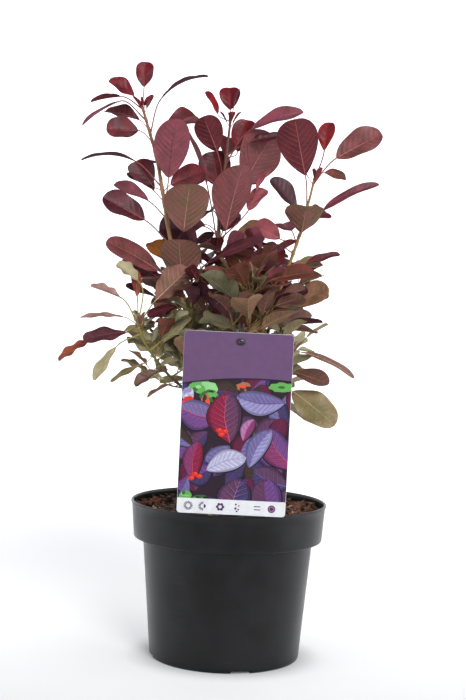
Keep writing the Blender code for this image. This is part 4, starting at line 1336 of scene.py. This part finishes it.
def make_limbs():
    """Trunk and boughs grown together, with the bark's relief in the mesh."""
    heap = Heap()
    heap.add(*joined_rings(trunk_rings()))
    for spec in SHOOTS.values():
        lower, _ = cut_at_height(spec["line"], (spec["leaves_from"] + BOUGH_OVERLAP) * MM)
        points = spaced(lower, BOUGH_STEP)
        radii = [radius + BOUGH_FLARE * math.exp(-k / BOUGH_FLARE_STEPS)
                 for k, radius in enumerate(limb_radii(points, spec))]
        heap.add_tube(points, radii, BOUGH_SIDES)
    limbs = make_piece("trunk_and_boughs", heap.points, heap.faces)
    modified(limbs, "REMESH", mode="VOXEL", voxel_size=LIMB_VOXEL)
    modified(limbs, "SMOOTH", iterations=3)
    mesh = limbs.data
    normals = [v.normal.copy() for v in mesh.vertices]
    for vertex, normal in zip(mesh.vertices, normals):
        p = vertex.co
        stretched = p * BARK_STRETCH
        furrow = abs(noise.noise(stretched)) + 0.5 * abs(noise.noise(stretched * 2.3))
        above = (p.z - ROUGH_BARK_TOP) / (SMOOTH_BARK_FOOT - ROUGH_BARK_TOP)
        rough = 1.0 - min(1.0, max(0.0, above))
        vertex.co = p + normal * BARK_GRAIN * (0.25 + 0.75 * rough) * (0.35 - furrow)
    mesh.shade_smooth()
    mesh.materials.append(barked(
        "limb_bark", (84, 62, 44), (138, 102, 58), start=0.15, stop=0.29, streaks=0.8, bump=0.6))
    ride_as(limbs, "trunk_bark", "trunk", *["bough_" + name for name in SHOOTS])


# Pot and compost


def shaped(radius, height, places):
    return [(radius + out * MM, height + up * MM) for out, up in places]


def pot_profile():
    """Radius and height round the pot's section, up its outside and down its inside."""
    ledge = COLLAR_FOOT_HEIGHT
    wall = [5 * MM + (ledge - 7 * MM) * k / 7 for k in range(7)]
    collar = shaped(COLLAR_FOOT_RADIUS, ledge, COLLAR_ROUNDING)
    rim = shaped(RIM_RADIUS, POT_HEIGHT, RIM_ROUNDING)
    return [
        *shaped(FOOT_RADIUS, 0.0, FOOT_ROUNDING), (inner_radius(3.6 * MM) + POT_WALL, 3.6 * MM),
        *shaped(FOOT_RADIUS, 0.0, FOOT_BEAD),
        *((inner_radius(height) + POT_WALL, height) for height in wall),
        *shaped(WALL_TOP_RADIUS, ledge, WALL_TOP_ROUNDING), *collar,
        *(between(collar[-1], rim[0], k / 4) for k in (1, 2, 3)), *rim,
        *((inner_radius(height), height) for height in (POT_HEIGHT - 3 * MM, ledge + POT_WALL)),
        (inner_radius(ledge), ledge + POT_WALL), (inner_radius(POT_WALL), POT_WALL)]


def make_pot():
    """The pot turned again on many more segments, with its bead and its drain slots."""
    rings = [ring_of(radius, height, POT_SEGMENTS) for radius, height in pot_profile()]
    pot = make_piece("nursery_pot", *joined_rings(rings), [scuffed(
        "pot_plastic", (7, 7, 8), (56, 58, 61), amount=0.45, roughness=0.29, bump=0.12,
        grain_depth=0.12 * MM, Specular_IOR_Level=0.29)])
    reach = RIM_RADIUS - SLOT_INNER_RADIUS
    for i in range(SLOT_COUNT):
        turn = Matrix.Rotation(math.tau * i / SLOT_COUNT + math.radians(SLOT_TURN), 4, "Z")
        place = turn @ Matrix.Translation((SLOT_INNER_RADIUS + reach / 2, 0, SLOT_HEIGHT / 2 - 1 * MM))
        box = make_box(place, Vector((reach, SLOT_WIDTH, SLOT_HEIGHT + 2 * MM)))
        modified(pot, "BOOLEAN", operation="DIFFERENCE", solver="EXACT", object=box)
        bpy.data.objects.remove(box, do_unlink=True)
    pot.data.shade_smooth()
    pot.data.set_sharp_from_angle(angle=math.radians(POT_SHARP))
    ride_as(pot, "pot_plastic", "pot")


def make_box(place, size):
    ends = (-0.5, 0.5)
    corners = [place @ (Vector((x, y, z)) * size) for x in ends for y in ends for z in ends]
    faces = [(0, 1, 3, 2), (4, 6, 7, 5), (0, 4, 5, 1), (2, 3, 7, 6), (0, 2, 6, 4), (1, 5, 7, 3)]
    return make_piece("slot", corners, faces)


def bed_height(x, y):
    place = Vector((x * LUMP_SCALE, y * LUMP_SCALE, 0.3))
    lump = noise.noise(place) + 0.5 * noise.noise(place * 2.7) + 0.3 * noise.noise(place * 7.0)
    return SOIL_LEVEL + BED_RISE + BED_LUMP * lump


def make_compost():
    """Bed of compost with bark chips and crumbs strewn over it."""
    ledge = COLLAR_FOOT_HEIGHT + POT_WALL
    edge = inner_radius(SOIL_LEVEL) - BED_SLACK
    neck = inner_radius(ledge - MM) - GAP
    rows = ((inner_radius(POT_WALL) - 2 * GAP, POT_WALL + GAP), (neck, ledge - MM),
            (neck, ledge + GAP), (inner_radius(ledge + GAP) - GAP, ledge + GAP))
    rings = [ring_of(radius, height, BED_SEGMENTS) for radius, height in rows]
    for row in range(BED_RINGS):
        radius = edge * (1 - row / BED_RINGS) ** 0.85
        ring = ring_of(max(radius, 0.5 * MM), SOIL_LEVEL, BED_SEGMENTS)
        for point in ring:
            point.z = bed_height(point.x, point.y)
        rings.append(ring)
    bed = Heap("soil")
    bed.add(*joined_rings(rings))
    bed.place("compost_bed", "bark_compost", [mottled(
        "compost_peat", (42, 27, 20), (66, 42, 31), patches=420.0, amount=0.9, roughness=0.9,
        grain=2200.0, bump=0.9, specular=0.15)])

    dice = random.Random(CHIP_SEED)
    heaps = {tone: Heap() for tone in CHIP_TONES}
    weights = [weight for _, weight in CHIP_TONES.values()]
    for i in range(CHIP_COUNT + CRUMB_COUNT):
        crumb = i >= CHIP_COUNT
        radius = edge * math.sqrt(dice.random()) * CHIP_SPREAD
        turn = dice.uniform(0, math.tau)
        x, y = radius * math.cos(turn), radius * math.sin(turn)
        if math.hypot(x, y) < BARE_RADIUS:
            continue
        size = Vector([dice.uniform(*span) for span in (CRUMB_SIZE if crumb else CHIP_SIZE)]) * MM
        heap = heaps[dice.choices(list(heaps), weights)[0]]
        rise = size.z * 0.3 + (0.0 if crumb else dice.uniform(0.0, CHIP_RISE) * MM)
        tilt = Matrix.Rotation(dice.uniform(0, math.tau), 4, "Z")
        for axis in "XY":
            tilt = tilt @ Matrix.Rotation(dice.gauss(0, CHIP_TILT), 4, axis)
        place = Matrix.Translation((x, y, bed_height(x, y) + rise)) @ tilt
        add_chip(heap, place, size, dice, edge, CRUMB_CORNERS if crumb else CHIP_CORNERS)
    for tone, heap in heaps.items():
        colour, _ = CHIP_TONES[tone]
        heap.place("chips_" + tone, "bark_compost", [barked(
            "chip_" + tone, colour, tinted(colour, 1.3), start=0.136, stop=0.144, streaks=0.9,
            bump=0.8, grain_depth=0.5 * MM, Specular_IOR_Level=0.25)], CHIP_SHARP)


def add_chip(heap, place, size, dice, edge, corners):
    """An angular splinter: the hull of a few points in a long box, kept inside the pot."""
    shard = bmesh.new()
    for _ in range(corners):
        corner = Vector([dice.choice((-0.5, 0.5)) * dice.uniform(least, 1.0)
                         for least in CHIP_FULLNESS])
        point = place @ (corner * size)
        point.xy *= min(1.0, edge / math.hypot(point.x, point.y))
        shard.verts.new(point)
    bmesh.ops.convex_hull(shard, input=shard.verts)
    inside = [v for v in shard.verts if not v.link_faces]
    bmesh.ops.delete(shard, geom=inside, context="VERTS")
    bmesh.ops.recalc_face_normals(shard, faces=shard.faces)
    heap.add_solid(shard)


# Picture card


# Places the card's own x across, y through and z up its face, at the middle of its top edge.
CARD_PLACE = (Matrix.Translation(CARD_TOP) @ Matrix.Rotation(math.radians(CARD_TILT), 4, "Y")
              @ Matrix.Rotation(math.radians(CARD_LEAN), 4, "X"))


def add_rounded_box(heap, place, size, rounding):
    """A box with softened edges, its size given across, through and up."""
    solid = bmesh.new()
    bmesh.ops.create_cube(solid, size=1.0, matrix=place @ Matrix.Diagonal((*size, 1.0)))
    bmesh.ops.bevel(solid, geom=solid.edges, offset=rounding, segments=3, profile=0.5, affect="EDGES")
    heap.add_solid(solid)


def make_stake():
    """The stake with its two prongs, and the peg with a domed head that holds the card."""
    stake = Heap("label_stake")
    run = STAKE_TOP - STAKE_FOOT
    turn = Matrix.Rotation(-math.atan2(run.y, run.z), 4, "X")
    middle = Matrix.Translation((STAKE_TOP + STAKE_FOOT) / 2)
    add_rounded_box(stake, middle @ turn, (STAKE_WIDTH, STAKE_DEPTH, run.length), STAKE_ROUNDING)
    for hand in (-1, 1):
        across = hand * (STAKE_WIDTH - PRONG_WIDTH) / 2
        place = Matrix.Translation(STAKE_TOP) @ turn @ Matrix.Translation((across, 0, PRONG_RISE))
        add_rounded_box(stake, place, (PRONG_WIDTH, STAKE_DEPTH * 0.8, PRONG_HEIGHT), PEG_ROUNDING)
    peg = CARD_PLACE @ Matrix.Translation((PEG_SHIFT, 0, -PEG_DROP))
    add_rounded_box(stake, peg @ Matrix.Translation((0, PEG_DEPTH, 0)), PEG_SIZE, PEG_ROUNDING)
    wide, high = PEG_HEAD
    stake.add(*joined_rings([
        [peg @ Vector((wide / 2 * reach * x, depth * MM - PEG_SINK, high / 2 * reach * z))
         for x, z in circle(PEG_SEGMENTS)] for reach, depth in PEG_DOME]))
    stake.place("card_stake", "stake_plastic", [scuffed(
        "stake_plastic", (22, 23, 25), (90, 92, 96), amount=0.4, roughness=0.3, bump=0.1)], STAKE_SHARP)


def clipped(outline, left, right, low, high):
    """The part of a flat outline inside an upright rectangle."""
    for axis, limit, sign in ((0, left, 1), (0, right, -1), (1, low, 1), (1, high, -1)):
        kept = []
        for i, point in enumerate(outline):
            before = outline[i - 1]
            inside = sign * (point[axis] - limit) >= 0
            if inside != (sign * (before[axis] - limit) >= 0):
                share = (limit - before[axis]) / (point[axis] - before[axis])
                kept.append(between(before, point, share))
            if inside:
                kept.append(point)
        outline = kept
        if len(outline) < 3:
            return []
    return outline


def arc(x, z, radius, start, stop, steps):
    """Places along part of a circle, with its angles in degrees."""
    turns = [math.radians(start + (stop - start) * k / steps) for k in range(steps + 1)]
    return [(x + radius * math.cos(turn), z + radius * math.sin(turn)) for turn in turns]


INKS = dict(PLAIN_INKS)
for ink, colour in LEAF_INKS.items():
    INKS[ink] = colour
    INKS[ink + "_pale"] = tinted(colour, PALE_INK)
    INKS[ink + "_dim"] = tinted(colour, DIM_INK)


class Printer(Heap):
    """Lays thin films of ink on one face of the card, each a little above those that it overlaps."""

    def __init__(self, face):
        super().__init__()
        self.face = face
        self.used = []
        self.level = 0
        self.window = WINDOW

    def rise_over(self, x, z, reach, films):
        """Takes the level just above every shape within reach, and books the next few films."""
        below = [top for cx, cz, far, top in self.used if math.hypot(cx - x, cz - z) < far + reach]
        self.level = 1 + max(below, default=0)
        self.used.append((x, z, reach, self.level + films - 1))

    def lay(self, ink, outline):
        """One film at the present level, in the card's millimetres, running either way round."""
        outline = clipped(outline, *self.window)
        area = sum(a[0] * b[1] - b[0] * a[1] for a, b in zip(outline, outline[1:] + outline[:1]))
        if abs(area) < LEAST_FILM:
            return
        if area < 0:
            outline = outline[::-1]
        back = 0.0 if self.face < 0 else CARD_THICKNESS
        front = back + self.face * (FIRST_INK + INK_STEP * self.level)
        points, faces = joined_rings([
            [CARD_PLACE @ Vector((x * MM, depth, z * MM)) for x, z in outline]
            for depth in sorted((back, front))])
        self.add(points, [face[::-1] for face in faces], list(INKS).index(ink))

    def leaf(self, x, z, angle, length, width, light, dark, rib):
        """A printed leaf with two halves, pale panels between its veins, and the veins."""
        along = (math.cos(math.radians(angle)), math.sin(math.radians(angle)))
        halves = ((1, light), (-1, dark))

        def at(share, side):
            ahead = share * length
            bow = PRINTED_BOW * length * math.sin(math.pi * share)
            aside = side * width / 2 * half_width(share) + bow
            return (x + along[0] * ahead - along[1] * aside, z + along[1] * ahead + along[0] * aside)

        self.rise_over(*at(0.5, 0.0), length / 2, 5)
        steps = even_steps(16)
        back_down = [at(share, 0.0) for share in steps[::-1]]
        edge = [at(share, 1.07) for share in steps] + [at(share, -1.07) for share in steps[::-1]]
        self.lay("deep", [(a + SHADOW_SHIFT[0], b + SHADOW_SHIFT[1]) for a, b in edge])
        self.level += 1
        for hand, ink in halves:
            self.lay(ink + "_dim", [at(share, hand) for share in steps] + back_down)
        self.level += 1
        for hand, ink in halves:
            self.lay(ink, [at(0.05 + 0.9 * share, hand * 0.82) for share in steps] + back_down)
        self.level += 1
        count = max(5, round(length / PRINTED_VEIN_SPACING))
        for hand, ink in halves:
            for j in range(count):
                low, high = (j + 0.24) / count, (j + 0.8) / count
                bulge = 0.74 + 0.1 * math.sin(5.0 * j + angle)
                panel = ((low, 0.1), (low + 0.07, 0.4 * bulge), (min(0.93, low + 0.15), bulge),
                         (min(0.95, high + 0.13), bulge - 0.05), (min(0.95, high + 0.05), 0.4),
                         (high, 0.1))
                self.lay(ink + "_pale", [at(share, hand * side) for share, side in panel])
        self.level += 1
        fine = max(0.2, width * 0.013)
        for hand in (-1, 1):
            for j in range(1, count):
                share = j / count
                self.stroke(rib, at(share, 0.0), at(min(0.96, share + 0.16), hand * 0.84), fine, 0.3)
        self.stroke(rib, at(0.0, 0.0), at(0.5, 0.0), fine * 2.2, 0.7)
        self.stroke(rib, at(0.5, 0.0), at(0.97, 0.0), fine * 1.5, 0.4)

    def stroke(self, ink, start, stop, wide, narrow):
        """A straight line, narrowed to a share of its width at its end."""
        run = (stop[0] - start[0], stop[1] - start[1])
        length = math.hypot(*run) or 1.0
        across, up = -run[1] / length / 2, run[0] / length / 2
        end = narrow * wide
        corners = ((start, wide), (start, -wide), (stop, -end), (stop, end))
        self.lay(ink, [(x + across * out, z + up * out) for (x, z), out in corners])

    def blot(self, ink, x, z, wide, high, dice, corners=18):
        outline = []
        for across, up in circle(corners):
            reach = dice.uniform(0.82, 1.08)
            outline.append((x + wide / 2 * reach * across, z + high / 2 * reach * up))
        self.rise_over(x, z, max(wide, high) / 2, 1)
        self.lay(ink, outline)

    def disc(self, ink, x, z, radius):
        self.lay(ink, arc(x, z, radius, 0, 360, 20)[:-1])


def header_edge(x):
    """Height of the title band's gently arched lower edge."""
    return -(HEADER_DEPTH - HEADER_SLOPE * x + HEADER_ARCH * x * x)


def card_corner(hand, z, start):
    """One rounded corner of the print; hand is -1 on the left and 1 on the right."""
    return arc(hand * (PRINT_EDGE - PRINT_CORNER), z, PRINT_CORNER, start, start + 90, 6)


def print_picture(front, dice):
    """Dim leaves behind, blurred patches between, and the leaves and berries in front."""
    left, right, _, high = WINDOW
    front.lay("ground", [(left, GROUND_FOOT), (right, GROUND_FOOT), (right, high), (left, high)])
    for row in range(BACK_LEAF_ROWS):
        for column in range(BACK_LEAF_COLUMNS):
            x = BACK_LEAF_START[0] + BACK_LEAF_STEP[0] * column + dice.uniform(-7, 7)
            z = BACK_LEAF_START[1] + BACK_LEAF_STEP[1] * row + dice.uniform(-6, 6)
            front.leaf(x, z, dice.uniform(0, 360), dice.uniform(22, 34), dice.uniform(14, 22),
                       dice.choice(BACK_LEAF_INKS), dice.choice(BACK_LEAF_INKS),
                       dice.choice(BACK_RIB_INKS))
    for x, z, wide, high, ink in BLOTS:
        front.blot(ink, x, z, wide, high, dice)
        for _ in range(BLOT_DABS):
            dab = dice.choice(BLOT_INKS[ink])
            front.blot(dab, x + dice.uniform(-0.34, 0.34) * wide, z + dice.uniform(-0.3, 0.3) * high,
                       wide * dice.uniform(0.25, 0.5), high * dice.uniform(0.3, 0.55), dice, 9)
    for printed in PRINTED_LEAVES:
        front.leaf(*printed)
    for x, z in BERRIES:
        front.blot("red", x, z, 6.5, 4.5, dice, 7)
        front.blot("vermilion", x + 0.6, z + 0.7, 3.4, 2.2, dice, 6)


def print_marks(front, z):
    """Six small plain shapes: rayed ring, half disc, rosette, dots, bars and a filled ring."""
    for k, (across, up) in enumerate(circle(16)):
        for x, rays in ((RAYED_RING, range(16)), (HALF_DISC, range(4, 13))):
            if k in rays:
                near, far = ((x + reach * across, z + reach * up) for reach in (2.0, 4.2))
                front.stroke("mark", near, far, 0.8, 1.0)
    front.lay("mark", arc(HALF_DISC + 0.8, z, 1.9, -90, 90, 20))
    for across, up in circle(6):
        front.disc("mark", ROSETTE + 2.5 * across, z + 2.5 * up, 1.35)
    front.level += 1
    front.disc("strip", ROSETTE, z, 1.5)
    for x, up, radius in DOTS:
        front.disc("mark", x, z + up, radius)
    for up in (1.7, -1.2):
        front.stroke("mark", (BARS[0], z + up), (BARS[1], z + up), 0.9, 1.0)
    front.disc("mark", FILLED_RING, z, 3.5)
    for ink, radius in (("lilac", 2.6), ("mark", 1.7)):
        front.level += 1
        front.disc(ink, FILLED_RING, z, radius)


def make_print():
    """A leaf pattern in the card's window, a plain title band above it and small marks below."""
    finishes = [mottled("ink_" + ink, colour, tinted(colour, 1.1), patches=160.0, amount=0.35,
                        roughness=0.34, grain=3000.0, bump=0.0, specular=0.16, grit=0.06)
                for ink, colour in INKS.items()]
    front = Printer(-1)
    print_picture(front, random.Random(PRINT_SEED))
    for name, side in (("print_front", front), ("print_back", Printer(1))):
        side.rise_over(0, CARD_MIDDLE, CARD_REACH, 2)
        side.window = WHOLE_CARD
        steps = [PRINT_EDGE - 2 * PRINT_EDGE * share for share in even_steps(HEADER_STEPS)]
        line = [(x, header_edge(x)) for x in steps]
        side.lay("header_line", line + [(x, z - HEADER_LINE) for x, z in line[::-1]])
        side.level += 1
        top = -INK_INSET - PRINT_CORNER
        side.lay("header", line[::-1] + card_corner(1, top, 0) + card_corner(-1, top, 90))
        if side is front:
            strip_top = CARD_FOOT + STRIP_HEIGHT
            foot = CARD_FOOT + PRINT_CORNER
            side.lay("strip", [(PRINT_EDGE, strip_top), (-PRINT_EDGE, strip_top)]
                     + card_corner(-1, foot, 180) + card_corner(1, foot, 270))
            side.level += 1
            print_marks(side, CARD_FOOT + STRIP_HEIGHT / 2)
        side.place(name, "card_print", finishes).data.shade_flat()


# Studio


def paper_finish():
    """Pale paper with painted shade and painted light: it greys a little in front of the pot, below the
    picture, as painted shade that the pot's front reflects, and is greyer near the pot as painted shade;
    it glows behind and beside the pot as painted light, faintly near it as painted shade round its foot,
    and more strongly far off on all sides as an evenly bright surround."""
    finish = mottled("studio_paper", (242, 243, 246), (246, 247, 250), patches=1.5, amount=0.5,
                     roughness=0.9, grain=40.0, bump=0.0, specular=0.0, grit=0.0)
    tree = finish.node_tree
    shader = tree.nodes["Principled BSDF"].inputs
    paper = shader["Base Color"].links[0].from_socket
    spot = node_in(tree, "TexCoord").outputs["Object"]
    depth = node_in(tree, "SeparateXYZ", {0: spot}).outputs["Y"]
    reach = node_in(tree, "VectorMath", {0: spot}, operation="LENGTH").outputs["Value"]
    # Painted shade: the paper greys near the pot.
    near_pot_shade = mixed(tree, ramped(tree, reach, 0.4, 1.2), NEAR_POT_SHADE_GREY, paper)
    # Painted shade: darker grey in front of the pot, which the pot's front reflects.
    behind = sum_of(tree, "MAXIMUM", ramped(tree, depth, -0.85, -0.2), ramped(tree, reach, 0.6, 0.95))
    tree.links.new(mixed(tree, behind, FRONT_SHADE_GREY, near_pot_shade), shader["Base Color"])
    # Painted light: the paper glows behind and beside the pot; the glow fades close round its foot as
    # painted shade, and is strong far off.
    glow = sum_of(tree, "MULTIPLY", ramped(tree, depth, -0.5, 0.1), ramped(tree, reach, 0.055, 0.105))
    glow = sum_of(tree, "MULTIPLY", glow, ramped(tree, reach, 0.35, 1.8, 0.5, 1.0))
    glow = sum_of(tree, "MAXIMUM", glow, ramped(tree, reach, 0.6, 0.95, 0.0, 0.66))
    tree.links.new(mixed(tree, glow, BLACK, paper), shader["Emission Color"])
    shader["Emission Strength"].default_value = 1.0
    return finish


def make_studio():
    """Pale floor that rises into an even white surround, four soft lights and the camera."""
    rings = [ring_of(radius, height - FLOOR_SINK, SURROUND_SEGMENTS) for radius, height in SURROUND]
    points, faces = joined_rings(rings)
    make_piece("studio_floor", points, [face[::-1] for face in faces[:-1]], [paper_finish()])

    scene = bpy.context.scene
    world = bpy.data.worlds.new("studio")
    world.use_nodes = True
    back = world.node_tree.nodes["Background"].inputs
    back["Color"].default_value = (1.0, 1.0, 1.0, 1.0)
    back["Strength"].default_value = WORLD_LIGHT
    scene.world = world
    for name, (place, size, power, spread) in LIGHTS.items():
        light = bpy.data.lights.new(name, "AREA")
        light.shape = "RECTANGLE"
        light.size, light.size_y = size
        light.energy = power
        light.spread = math.radians(spread)
        lamp = bpy.data.objects.new(name, light)
        lamp.location = place
        aim = LIGHTS_AIM - Vector(place)
        lamp.rotation_euler = aim.to_track_quat("-Z", "Y").to_euler()
        scene.collection.objects.link(lamp)

    camera = bpy.data.cameras.new("camera")
    camera.sensor_fit = "AUTO"
    camera.sensor_width = CAMERA_SENSOR
    camera.lens = CAMERA_SENSOR * FOCAL_LENGTH / PICTURE_HEIGHT
    viewer = bpy.data.objects.new("camera", camera)
    viewer.matrix_world = (Matrix.Translation(CAMERA_PLACE)
                           @ Matrix.Rotation(math.pi / 2 - CAMERA_PITCH, 4, "X")
                           @ Matrix.Rotation(CAMERA_ROLL, 4, "Z"))
    scene.collection.objects.link(viewer)
    scene.camera = viewer
    scene.view_settings.view_transform = "Standard"


nodes = frame["nodes"]
for spec in SHOOTS.values():
    draw_shoot(spec)
solids = [nodes[name] for name in ("pot", "soil", "trunk", "label_card", "label_stake")]
solids += [nodes["bough_" + name] for name in SHOOTS]
limbs = limb_trees(solids)
all_leaves = plan_leaves(limbs)

make_leaves(all_leaves, limbs)
make_stems(all_leaves)
make_limbs()
make_pot()
make_compost()
make_print()
nodes["label_card"].data.materials[0] = mottled(
    "card_stock", (205, 208, 212), (214, 217, 221), patches=90.0, amount=0.5, roughness=0.38,
    grain=2600.0, bump=0.05, specular=0.45, grit=0.05)
make_stake()
make_studio()
